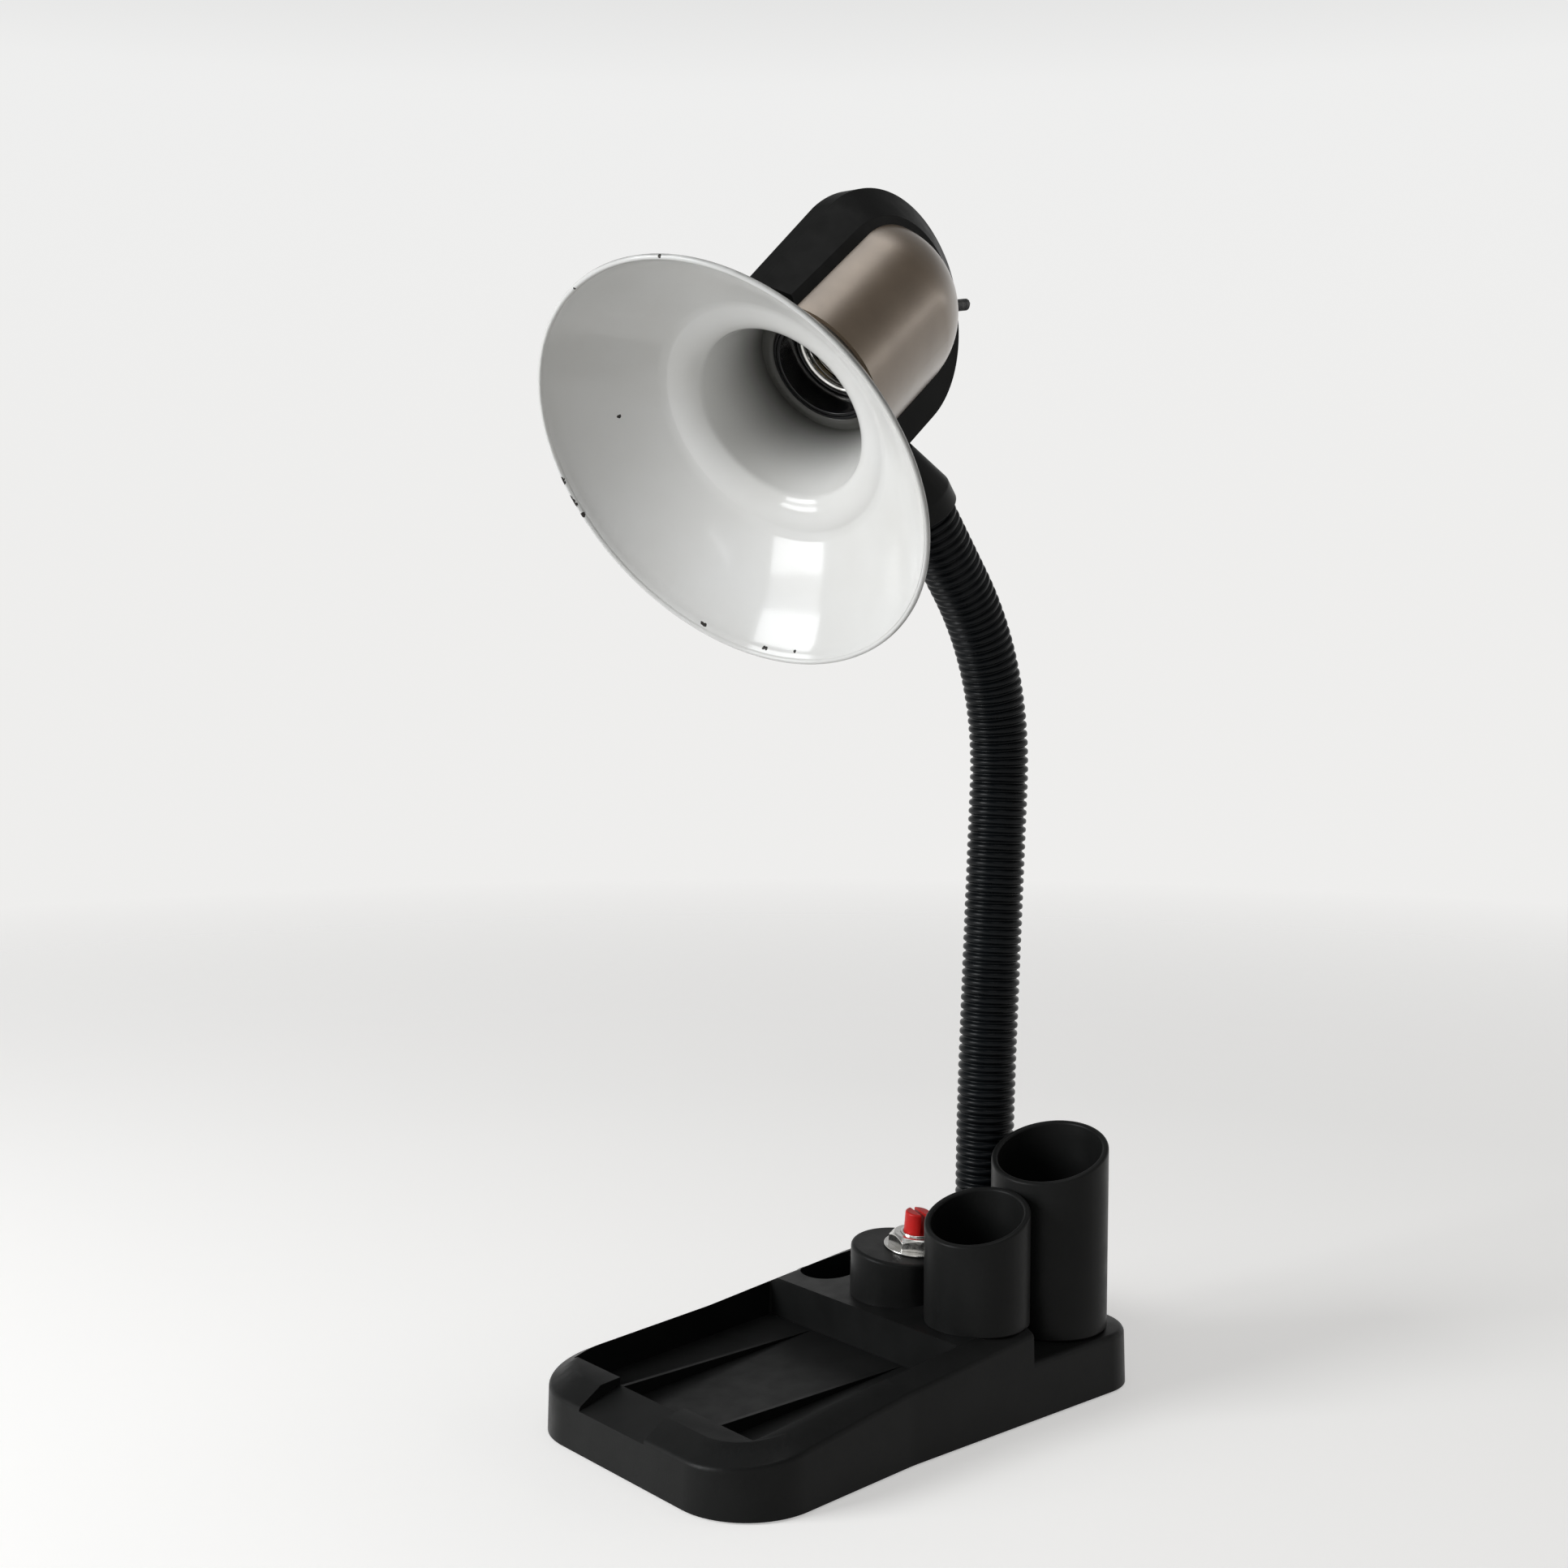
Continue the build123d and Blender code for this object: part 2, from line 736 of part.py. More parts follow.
def core_top():
    """The highest link, with the threaded stem that carries the head."""
    link = core_link(upper_bend_at, sleeve_length, True, False) - core_bore(upper_bend_at, sleeve_length)
    stem_end = stem_reach - stem_boss_height + stem_nut_height + overrun
    return link + neck_plane(sleeve_length).location * tube(nipple_radius, nipple_bore_radius, 0, stem_end)


def neck_collar():
    """The ring round the sleeve's foot."""
    ring = tube(collar_radius, sleeve_radius + link_gap, 0, collar_height)
    edges = ring.edges().group_by(Axis.Z)[-1]
    return neck_plane(0).location * fillet(edges, (collar_radius - sleeve_radius) / 4)


def foot_washer():
    """The washer under the platform."""
    top = platform_height - top_wall
    washer = tube(foot_washer_radius, nipple_radius + thread_gap, top - foot_washer_thickness, top)
    return Pos(neck_x, neck_y, 0) * washer


def foot_nut():
    """The nut that holds the neck to the base."""
    top = platform_height - top_wall - foot_washer_thickness
    nut = hex_prism(foot_nut_width, top - foot_nut_height, top)
    nut -= drum(nipple_radius + thread_gap, top - 2 * foot_nut_height, top + overrun)
    return Pos(neck_x, neck_y, 0) * nut


def neck_cap():
    """The cone-shaped cap that closes the sleeve under the head."""
    inner = sleeve_radius + link_gap
    top = cap_shoulder + cap_cone_length
    bore = nipple_radius + thread_gap
    outline = [
        (inner, -cap_skirt),
        (cap_radius, -cap_skirt),
        (cap_radius, cap_shoulder),
        (cap_top_radius, top),
        (bore, top),
        (bore, 0),
        (inner, 0),
    ]
    profile = make_face(Polyline(*outline, close=True))
    corner = profile.vertices().sort_by_distance((cap_radius, cap_shoulder, 0))[0]
    profile = Plane.XZ * fillet(corner, cap_round)
    return neck_plane(sleeve_length).location * revolve(profile, Axis.Z)


# Head, built about its own axis and then set on the stem
def head_location():
    """The head's frame: its axis meets the stem's line, and looks forward and down."""
    stem = neck_plane(sleeve_length)
    meet = stem.origin + stem.z_dir * stem_reach
    up = ahead * sin(radians(head_tilt)) + upward * cos(radians(head_tilt))
    along = side.cross(up)
    return Location(Plane(origin=meet - along * stem_set, x_dir=side, z_dir=along))


def stem_location():
    """The frame at the sleeve's end with Z along the stem, as seen from the head."""
    return head_location().inverse() * neck_plane(sleeve_length).location


def stadium(radius, under, centre, lift, front, x, fall=0.0):
    """A flat end in front and two quarter rounds behind, on a plane beside the head's middle."""
    top, bottom, back = lift + radius, lift - under, centre - radius
    under_centre = back + under
    corner = top - (front - centre) * tan(radians(fall))
    half = sqrt(0.5)
    outline = Wire([
        Edge.make_line((x, bottom, front), (x, bottom, under_centre)),
        Edge.make_three_point_arc(
            (x, bottom, under_centre), (x, lift - under * half, under_centre - under * half), (x, lift, back),
        ),
        Edge.make_three_point_arc(
            (x, lift, back), (x, lift + radius * half, centre - radius * half), (x, top, centre),
        ),
        Edge.make_line((x, top, centre), (x, corner, front)),
        Edge.make_line((x, corner, front), (x, bottom, front)),
    ])
    return Face(outline)


def housing_body(inset, front):
    """The band's full body: a flat crest along the middle that falls away to both shoulders."""
    shoulder = shoulder_radius - inset
    crest, under = crest_radius - inset, crest_under_radius - inset
    half = housing_half_width - inset
    sides = [
        stadium(shoulder, shoulder, shoulder_centre, shoulder_lift, front, -half),
        stadium(crest, under, crest_centre, crest_lift, front, -crest_half_width, crest_fall),
        stadium(crest, under, crest_centre, crest_lift, front, crest_half_width, crest_fall),
        stadium(shoulder, shoulder, shoulder_centre, shoulder_lift, front, half),
    ]
    return loft(sides, ruled=True)


def throat_cone():
    """The room in the head's front for the shade's throat, turned as it is."""
    spread = (throat_radius - throat_end_radius) / (throat_place - throat_end_place)
    grow = shade_wall + spread * throat_radius * tan(radians(shade_turn)) + 2 * seat_gap
    length = throat_place - 2 * shade_wall - throat_end_place
    return Pos(0, 0, throat_end_place) * Cone(
        throat_end_radius + grow, throat_radius + grow, length, align=(Align.CENTER, Align.CENTER, Align.MIN),
    )


def head_housing():
    """The black body of the head, open at its front and, under the panels, at its sides."""
    hole = panel_radius - panel_seat
    opening = stadium(hole, hole, panel_centre, panel_lift, housing_front + overrun, 0)
    band = housing_body(0, housing_front) - housing_body(housing_wall, housing_front + overrun)
    band -= extrude(opening, amount=base_front_width, dir=(1, 0, 0), both=True)
    band -= throat_cone()
    band -= drum(bridge_radius() + seat_gap, bridge_back - seat_gap, bridge_front + bridge_rim_height + seat_gap)
    boss = stem_location() * drum(stem_boss_radius, 0, stem_reach - stem_boss_height)
    band += boss & housing_body(0, housing_front)
    band -= stem_location() * drum(nipple_radius + thread_gap, 0, stem_reach)
    band -= rear_screw_axis() * drum(rear_screw_radius + thread_gap, -2 * rear_screw_depth, rear_screw_reach)
    return head_location() * band


def panel_dome(radius, rise):
    """A domed panel on the +X side of the head, before it is hollowed."""
    chord = [(0, -radius), (0, radius)]
    segment = make_face([Line(*chord), ThreePointArc(chord[1], (rise, 0), chord[0])])
    half = segment & Pos(rise, radius) * Rectangle(4 * rise, 2 * radius)
    run = extrude(segment, amount=housing_front - panel_centre)
    end = revolve(half, Axis.X, revolution_arc=-180)
    return Pos(housing_half_width, panel_lift, panel_centre) * (run + end)


def side_panel(hand):
    """A bronze panel on one side of the head."""
    panel = panel_dome(panel_radius, panel_rise) - panel_dome(panel_radius - panel_wall, panel_rise - panel_wall)
    panel -= throat_cone()
    panel = panel if hand > 0 else mirror(panel, about=Plane.YZ)
    return head_location() * panel


def shade_profile():
    """Points of the shade's inner face from the rim to its throat, as radius and place."""
    return [
        (rim_radius, rim_place),
        (crease_radius, crease_place),
        (throat_radius, throat_place),
        (throat_end_radius, throat_end_place),
    ]


def shade():
    """The white shade: a rolled rim, a flare, a round step and a flanged throat, turned up a little."""
    rim, crease, throat, seat = shade_profile()
    climb = tan(radians(shade_turn))
    spare = (2 * throat_end_radius - throat_radius + shade_wall) * climb + overrun
    end = (seat[0] - spare * (throat[0] - seat[0]) / (throat[1] - seat[1]), seat[1] - spare)
    flare_middle = [(a + b) / 2 for a, b in zip(rim, crease)]
    flare_middle[0] += flare_sag
    step_middle = ((crease[0] + throat[0]) / 2, crease[1] - shade_wall)
    back = [(r, z - shade_wall) for r, z in (rim, flare_middle, crease)]
    deep = shade_wall + shade_wall
    outer_step = (step_middle[0] + shade_wall, step_middle[1] - shade_wall)
    outer_throat = (throat[0] + shade_wall, throat[1] - deep)
    outer_end = (end[0] + shade_wall, end[1])
    inner = [
        ThreePointArc(rim, tuple(flare_middle), crease),
        ThreePointArc(crease, step_middle, throat),
        Line(throat, end),
    ]
    outer = [
        Line(end, outer_end),
        Line(outer_end, outer_throat),
        ThreePointArc(outer_throat, outer_step, tuple(back[2])),
        ThreePointArc(tuple(back[2]), tuple(back[1]), tuple(back[0])),
        Line(tuple(back[0]), rim),
    ]
    profile = Plane.XZ * make_face(inner + outer)
    bead = Plane.XZ * (Pos(rim_radius, rim_place - shade_wall / 2) * Circle(rim_bead_radius))
    body = revolve(profile, Axis.Z) + revolve(bead, Axis.Z)
    body = body.transform_geometry(Matrix([[1, 0, 0, 0], [0, 1, 0, 0], [0, -climb, 1, 0], [0, 0, 0, 1]]))
    reach = 2 * rim_radius
    body -= box_between((-reach, -reach, -reach), (reach, reach, throat_end_place))
    body += tube(throat_end_radius + shade_wall / 2, ring_radius + seat_gap, throat_end_place, throat_end_place + shade_wall)
    return head_location() * body


def bridge_radius():
    """The bridge's outer radius: the shade's turned throat fits in the rim at its front."""
    spread = (throat_radius - throat_end_radius) / (throat_place - throat_end_place)
    throat = throat_end_radius + shade_wall + spread * bridge_rim_height
    return throat + spread * throat_radius * tan(radians(shade_turn)) + seat_gap + bridge_rim


def holder_bridge():
    """The plate across the head that carries the lampholder and seats the shade's throat."""
    hole = holder_radius + seat_gap
    outer = bridge_radius()
    plate = drum(outer, bridge_back, bridge_front)
    plate += tube(outer, outer - bridge_rim, bridge_front, bridge_front + bridge_rim_height)
    arm = housing_body(housing_wall + seat_gap, housing_front)
    arm &= box_between((-bridge_half_width, -base_length, bridge_back), (bridge_half_width, base_length, bridge_front))
    plate += arm
    plate -= drum(hole, bridge_back - overrun, bridge_front + overrun)
    return head_location() * plate


def lampholder_body():
    """The lampholder's insulating body, with a shoulder behind the bridge."""
    body = drum(holder_radius, holder_back, holder_front)
    body += drum(holder_shoulder_radius, bridge_back - holder_shoulder, bridge_back)
    body -= drum(holder_radius - holder_wall, shell_place - shell_lip, holder_front + overrun)
    body -= drum(shell_bore_radius + shell_wall + thread_gap, shell_back - contact_height, holder_front)
    return head_location() * body


def lampholder_ring():
    """The ring that clamps the lampholder to the bridge."""
    ring = tube(ring_radius, holder_radius + thread_gap, bridge_front, holder_front)
    edge = ring.edges().group_by(Axis.Z)[-1].sort_by(SortBy.RADIUS)[-1]
    return head_location() * fillet(edge, ring_round)


def screw_shell():
    """The metal shell that takes a lamp's screw cap."""
    outer = shell_bore_radius + shell_wall
    shell = drum(outer, shell_back, shell_place) + drum(shell_lip_radius, shell_place - shell_lip, shell_place)
    shell -= drum(shell_bore_radius, shell_back - overrun, shell_place + overrun)
    return head_location() * shell


def centre_contact():
    """The contact at the lampholder's bottom."""
    floor = shell_back - contact_height
    return head_location() * drum(contact_radius, floor, floor + contact_height)


def stem_nut():
    """The nut that holds the head on its stem."""
    bottom = stem_reach - stem_boss_height
    nut = hex_prism(stem_nut_width, bottom, bottom + stem_nut_height)
    nut -= drum(nipple_radius + thread_gap, 0, stem_reach)
    return neck_plane(sleeve_length).location * nut


def rear_screw_axis():
    """A frame on the housing's back, below its middle, looking straight out of the surface."""
    outward = Vector(0, -sin(radians(rear_screw_drop)), -cos(radians(rear_screw_drop)))
    centre = Vector(0, crest_lift, crest_centre - crest_radius + crest_under_radius)
    return Location(Plane(origin=centre + outward * crest_under_radius, x_dir=(1, 0, 0), z_dir=outward))


def rear_screw():
    """The metal screw that stands out of the head's back."""
    screw = drum(rear_screw_radius, -rear_screw_depth, rear_screw_reach)
    screw -= box_between(
        (-rear_screw_slot_width / 2, -2 * rear_screw_radius, rear_screw_reach - rear_screw_slot_depth),
        (rear_screw_slot_width / 2, 2 * rear_screw_radius, rear_screw_reach + overrun),
    )
    return head_location() * (rear_screw_axis() * screw)


def lead_clip():
    """The block behind the back wall that the rear screw draws up, shaped to the wall."""
    room = housing_body(housing_wall + seat_gap, housing_front)
    low = (-clip_width / 2, -clip_height / 2, -clip_length - housing_wall)
    high = (clip_width / 2, clip_height / 2, 0)
    clip = room & (rear_screw_axis() * box_between(low, high))
    clip -= rear_screw_axis() * drum(rear_screw_radius + thread_gap, -2 * rear_screw_depth, rear_screw_reach)
    return head_location() * clip


def pieces():
    """Every piece by its name."""
    return {
        "base_shell": base_shell(),
        "short_pen_cup": pen_cup(short_cup_x, short_cup_y, short_cup_radius, platform_height, short_cup_height),
        "tall_pen_cup": pen_cup(tall_cup_x, tall_cup_y, tall_cup_radius, ledge_height, tall_cup_height),
        "base_pad": base_pad(),
        "bottom_plate": bottom_plate(),
        "plate_screws": plate_screws(),
        "ballast_plate": ballast(),
        "inlet_grommet": inlet_grommet(),
        "switch_body": switch_body(),
        "switch_bushing": switch_bushing(),
        "switch_washer": switch_washer(),
        "switch_nut": switch_nut(),
        "switch_shaft": switch_shaft(),
        "neck_collar": neck_collar(),
        "neck_foot_washer": foot_washer(),
        "neck_foot_nut": foot_nut(),
        "neck_core_foot": core_foot(),
        "neck_core_lower": core_middle(lower_bend_at, middle_bend_at),
        "neck_core_upper": core_middle(middle_bend_at, upper_bend_at),
        "neck_core_top": core_top(),
        "neck_sleeve_lower": neck_sleeve(0, sleeve_joint_lower),
        "neck_sleeve_middle": neck_sleeve(sleeve_joint_lower, sleeve_joint_upper),
        "neck_sleeve_upper": neck_sleeve(sleeve_joint_upper, sleeve_length),
        "neck_cap": neck_cap(),
        "head_stem_nut": stem_nut(),
        "head_housing": head_housing(),
        "side_panel_right": side_panel(1),
        "side_panel_left": side_panel(-1),
        "shade": shade(),
        "holder_bridge": holder_bridge(),
        "lampholder_body": lampholder_body(),
        "lampholder_ring": lampholder_ring(),
        "lamp_screw_shell": screw_shell(),
        "lamp_centre_contact": centre_contact(),
        "rear_screw": rear_screw(),
        "lead_clip": lead_clip(),
    }


os.makedirs("parts", exist_ok=True)
for name, piece in pieces().items():
    export_step(piece, f"parts/{name}.step")
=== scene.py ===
import bpy
import json
import math
from mathutils import Matrix, Quaternion, Vector


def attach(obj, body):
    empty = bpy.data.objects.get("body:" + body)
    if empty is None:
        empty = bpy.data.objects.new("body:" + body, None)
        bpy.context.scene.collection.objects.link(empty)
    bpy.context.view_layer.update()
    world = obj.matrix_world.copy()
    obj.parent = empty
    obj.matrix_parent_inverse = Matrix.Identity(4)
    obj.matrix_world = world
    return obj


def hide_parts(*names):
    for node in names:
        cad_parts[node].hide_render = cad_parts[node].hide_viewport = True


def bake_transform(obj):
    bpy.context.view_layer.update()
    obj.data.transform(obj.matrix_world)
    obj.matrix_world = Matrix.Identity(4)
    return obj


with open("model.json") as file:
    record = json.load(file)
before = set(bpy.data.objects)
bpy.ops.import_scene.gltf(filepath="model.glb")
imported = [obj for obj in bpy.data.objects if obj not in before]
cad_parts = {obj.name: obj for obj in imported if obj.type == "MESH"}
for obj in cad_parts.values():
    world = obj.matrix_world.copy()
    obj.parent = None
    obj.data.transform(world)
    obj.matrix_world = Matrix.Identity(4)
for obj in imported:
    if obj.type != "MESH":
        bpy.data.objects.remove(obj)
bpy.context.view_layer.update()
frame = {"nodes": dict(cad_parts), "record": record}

mm = 0.001
weld = 0.00001  # metres, points closer than this become one

print("desk lamp: frame loaded,", len(frame["nodes"]), "solids")


# where the lamp's own parts stand, in millimetres
lampPlaces = {
    "headOrigin": (7.483, -2.111, 333.734),
    "headSide": (0.98657, 0.16333, 0.0),
    "headUp": (0.09715, -0.58684, 0.80386),
    "headOut": (0.13129, -0.79306, -0.59482),
    "neckFoot": (-4.0, 67.25, 28.5),
    "neckAhead": (0.16333, -0.98657, 0.0),
}


def headMatrix():
    axes = [Vector(lampPlaces[k]) for k in ("headSide", "headUp", "headOut")]
    turn = Matrix(axes).transposed().to_4x4()
    return Matrix.Translation(Vector(lampPlaces["headOrigin"]) * mm) @ turn


def deselectAll():
    if bpy.context.object and bpy.context.object.mode != "OBJECT":
        bpy.ops.object.mode_set(mode="OBJECT")
    bpy.ops.object.select_all(action="DESELECT")


def pick(obj):
    deselectAll()
    obj.select_set(True)
    bpy.context.view_layer.objects.active = obj


def applyModifier(obj, kind, **settings):
    pick(obj)
    mod = obj.modifiers.new(kind.lower(), kind)
    for key, value in settings.items():
        setattr(mod, key, value)
    bpy.ops.object.modifier_apply(modifier=mod.name)


def bakePlace(obj, matrix):
    pick(obj)
    obj.matrix_world = matrix
    bpy.ops.object.transform_apply(location=True, rotation=True, scale=True)


def smooth(obj, angle):
    pick(obj)
    bpy.ops.object.shade_smooth_by_angle(angle=math.radians(angle))


def turnedRings(name, profile, sides, closed):
    # a circle pulled ring by ring along the profile of (radius, height)
    deselectAll()
    r, z = profile[0]
    bpy.ops.mesh.primitive_circle_add(vertices=sides, radius=r * mm, location=(0, 0, z * mm))
    obj = bpy.context.object
    obj.name = name
    bpy.ops.object.transform_apply(location=True, rotation=False, scale=False)
    bpy.ops.object.mode_set(mode="EDIT")
    bpy.ops.mesh.select_all(action="SELECT")
    for rNext, zNext in profile[1:]:
        bpy.ops.mesh.extrude_edges_move(TRANSFORM_OT_translate={"value": (0, 0, (zNext - z) * mm)})
        grow = rNext / r
        bpy.ops.transform.resize(value=(grow, grow, 1), center_override=(0, 0, zNext * mm))
        r, z = rNext, zNext
    bpy.ops.mesh.select_all(action="SELECT")
    if closed:
        bpy.ops.mesh.remove_doubles(threshold=weld)
        bpy.ops.mesh.normals_make_consistent(inside=False)
    bpy.ops.object.mode_set(mode="OBJECT")
    return obj


def arcPoints(a, b, c, steps):
    # points on the circle through a, b and c, from a to c
    ax, ay = a; bx, by = b; cx, cy = c
    d = 2 * (ax * (by - cy) + bx * (cy - ay) + cx * (ay - by))
    ux = ((ax**2 + ay**2) * (by - cy) + (bx**2 + by**2) * (cy - ay) + (cx**2 + cy**2) * (ay - by)) / d
    uy = ((ax**2 + ay**2) * (cx - bx) + (bx**2 + by**2) * (ax - cx) + (cx**2 + cy**2) * (bx - ax)) / d
    r = math.hypot(ax - ux, ay - uy)
    a0 = math.atan2(ay - uy, ax - ux)
    sweep = (math.atan2(cy - uy, cx - ux) - a0 + math.pi) % (2 * math.pi) - math.pi
    angles = [a0 + sweep * i / steps for i in range(steps + 1)]
    return [(ux + r * math.cos(a), uy + r * math.sin(a)) for a in angles]


def newFinish(name):
    mat = bpy.data.materials.new(name)
    mat.use_nodes = True
    tree = mat.node_tree
    shader = tree.nodes["Principled BSDF"]
    coords = tree.nodes.new("ShaderNodeTexCoord")
    return mat, tree, shader, coords.outputs["Object"]


def noiseNode(tree, where, scale, detail=3.0, stretch=None):
    noise = tree.nodes.new("ShaderNodeTexNoise")
    noise.inputs["Scale"].default_value = scale
    noise.inputs["Detail"].default_value = detail
    if stretch:
        mapping = tree.nodes.new("ShaderNodeMapping")
        mapping.inputs["Scale"].default_value = stretch
        tree.links.new(where, mapping.inputs["Vector"])
        where = mapping.outputs["Vector"]
    tree.links.new(where, noise.inputs["Vector"])
    return noise.outputs["Fac"]


def rampNode(tree, source, stops):
    ramp = tree.nodes.new("ShaderNodeValToRGB")
    ramp.color_ramp.elements[0].position, ramp.color_ramp.elements[0].color = stops[0][0], (*stops[0][1], 1)
    ramp.color_ramp.elements[1].position, ramp.color_ramp.elements[1].color = stops[-1][0], (*stops[-1][1], 1)
    for place, colour in stops[1:-1]:
        ramp.color_ramp.elements.new(place).color = (*colour, 1)
    tree.links.new(source, ramp.inputs["Fac"])
    return ramp.outputs["Color"]


def rangeNode(tree, source, low, high, fromLow=0.3, fromHigh=0.7):
    span = tree.nodes.new("ShaderNodeMapRange")
    span.inputs["From Min"].default_value = fromLow
    span.inputs["From Max"].default_value = fromHigh
    span.inputs["To Min"].default_value = low
    span.inputs["To Max"].default_value = high
    tree.links.new(source, span.inputs["Value"])
    return span.outputs["Result"]


def mathNode(tree, kind, a, b):
    node = tree.nodes.new("ShaderNodeMath")
    node.operation = kind
    for socket, value in zip(node.inputs, (a, b)):
        if isinstance(value, (int, float)):
            socket.default_value = value
        else:
            tree.links.new(value, socket)
    return node.outputs[0]


def mixColours(tree, factor, a, b):
    mix = tree.nodes.new("ShaderNodeMix")
    mix.data_type = "RGBA"
    tree.links.new(factor, mix.inputs["Factor"])
    for key, value in ((6, a), (7, b)):
        if isinstance(value, tuple):
            mix.inputs[key].default_value = (*value, 1)
        else:
            tree.links.new(value, mix.inputs[key])
    return mix.outputs[2]


def bumpNode(tree, shader, height, strength, distance):
    bump = tree.nodes.new("ShaderNodeBump")
    bump.inputs["Strength"].default_value = strength
    bump.inputs["Distance"].default_value = distance * mm
    tree.links.new(height, bump.inputs["Height"])
    tree.links.new(bump.outputs["Normal"], shader.inputs["Normal"])


def surfaceFinish(name, look):
    # one finish: two mottled colours, a wandering roughness and a fine grain
    mat, tree, shader, where = newFinish(name)
    mottle = noiseNode(tree, where, look["mottle"], 4.0, look.get("stretch"))
    colour = rampNode(tree, mottle, [(0.3, look["dark"]), (0.7, look["light"])])
    tree.links.new(colour, shader.inputs["Base Color"])
    rough = noiseNode(tree, where, look["roughScale"], 3.0, look.get("stretch"))
    tree.links.new(rangeNode(tree, rough, *look["rough"]), shader.inputs["Roughness"])
    grain = noiseNode(tree, where, look["grain"], 2.0, look.get("stretch"))
    bumpNode(tree, shader, grain, look["bump"], look["depth"])
    shader.inputs["Metallic"].default_value = look.get("metal", 0.0)
    shader.inputs["Specular IOR Level"].default_value = look.get("specular", 0.5)
    shader.inputs["Coat Weight"].default_value = look.get("coat", 0.0)
    shader.inputs["Coat Roughness"].default_value = look.get("coatRough", 0.1)
    shader.inputs["Coat IOR"].default_value = look.get("coatIor", 1.5)
    mat.diffuse_color = (*look["light"], 1)
    return mat


finishes = {
    "blackMoulding": dict(
        dark=(0.0085, 0.0088, 0.0086), light=(0.0135, 0.0139, 0.0136), mottle=45,
        rough=(0.33, 0.43), roughScale=160, grain=2600, bump=0.35, depth=0.06, specular=0.10),
    "blackHead": dict(
        dark=(0.0040, 0.0042, 0.0039), light=(0.0065, 0.0068, 0.0064), mottle=45,
        rough=(0.36, 0.46), roughScale=160, grain=2400, bump=0.25, depth=0.05, specular=0.045),
    "blackHolder": dict(
        dark=(0.0035, 0.0035, 0.0042), light=(0.0062, 0.0062, 0.0074), mottle=70,
        rough=(0.14, 0.22), roughScale=220, grain=1500, bump=0.08, depth=0.04, specular=0.40),
    "sleeveRubber": dict(
        dark=(0.0024, 0.0032, 0.0040), light=(0.0044, 0.0058, 0.0070), mottle=60,
        rough=(0.26, 0.36), roughScale=240, grain=2200, bump=0.15, depth=0.04, specular=0.12),
    "bronzePaint": dict(
        dark=(0.180, 0.122, 0.070), light=(0.222, 0.157, 0.096), mottle=90,
        rough=(0.30, 0.37), roughScale=200, grain=5200, bump=0.20, depth=0.02,
        metal=0.3, coat=1.0, coatRough=0.30, coatIor=1.55),
    "nickelPlate": dict(
        dark=(0.62, 0.61, 0.58), light=(0.78, 0.775, 0.76), mottle=240,
        rough=(0.12, 0.24), roughScale=600, grain=2000, bump=0.10, depth=0.03, metal=1.0),
    "zincPlate": dict(
        dark=(0.42, 0.42, 0.42), light=(0.60, 0.605, 0.61), mottle=320,
        rough=(0.28, 0.42), roughScale=500, grain=2200, bump=0.15, depth=0.03, metal=1.0),
    "darkSteel": dict(
        dark=(0.050, 0.050, 0.052), light=(0.115, 0.114, 0.112), mottle=420,
        rough=(0.30, 0.46), roughScale=500, grain=2200, bump=0.15, depth=0.03, metal=1.0),
    "bareSteel": dict(
        dark=(0.060, 0.059, 0.058), light=(0.110, 0.108, 0.106), mottle=90,
        rough=(0.38, 0.55), roughScale=300, grain=1400, bump=0.2, depth=0.05, metal=1.0),
    "footRubber": dict(
        dark=(0.010, 0.010, 0.010), light=(0.019, 0.019, 0.018), mottle=60,
        rough=(0.72, 0.86), roughScale=180, grain=1600, bump=0.5, depth=0.1, specular=0.3),
    "redShaft": dict(
        dark=(0.56, 0.008, 0.007), light=(0.70, 0.014, 0.011), mottle=180,
        rough=(0.34, 0.46), roughScale=300, grain=1800, bump=0.12, depth=0.03, specular=0.3),
    "brassContact": dict(
        dark=(0.50, 0.36, 0.15), light=(0.68, 0.52, 0.24), mottle=260,
        rough=(0.24, 0.38), roughScale=500, grain=1800, bump=0.12, depth=0.03, metal=1.0),
}
madeFinish = {name: surfaceFinish(name, look) for name, look in finishes.items()}

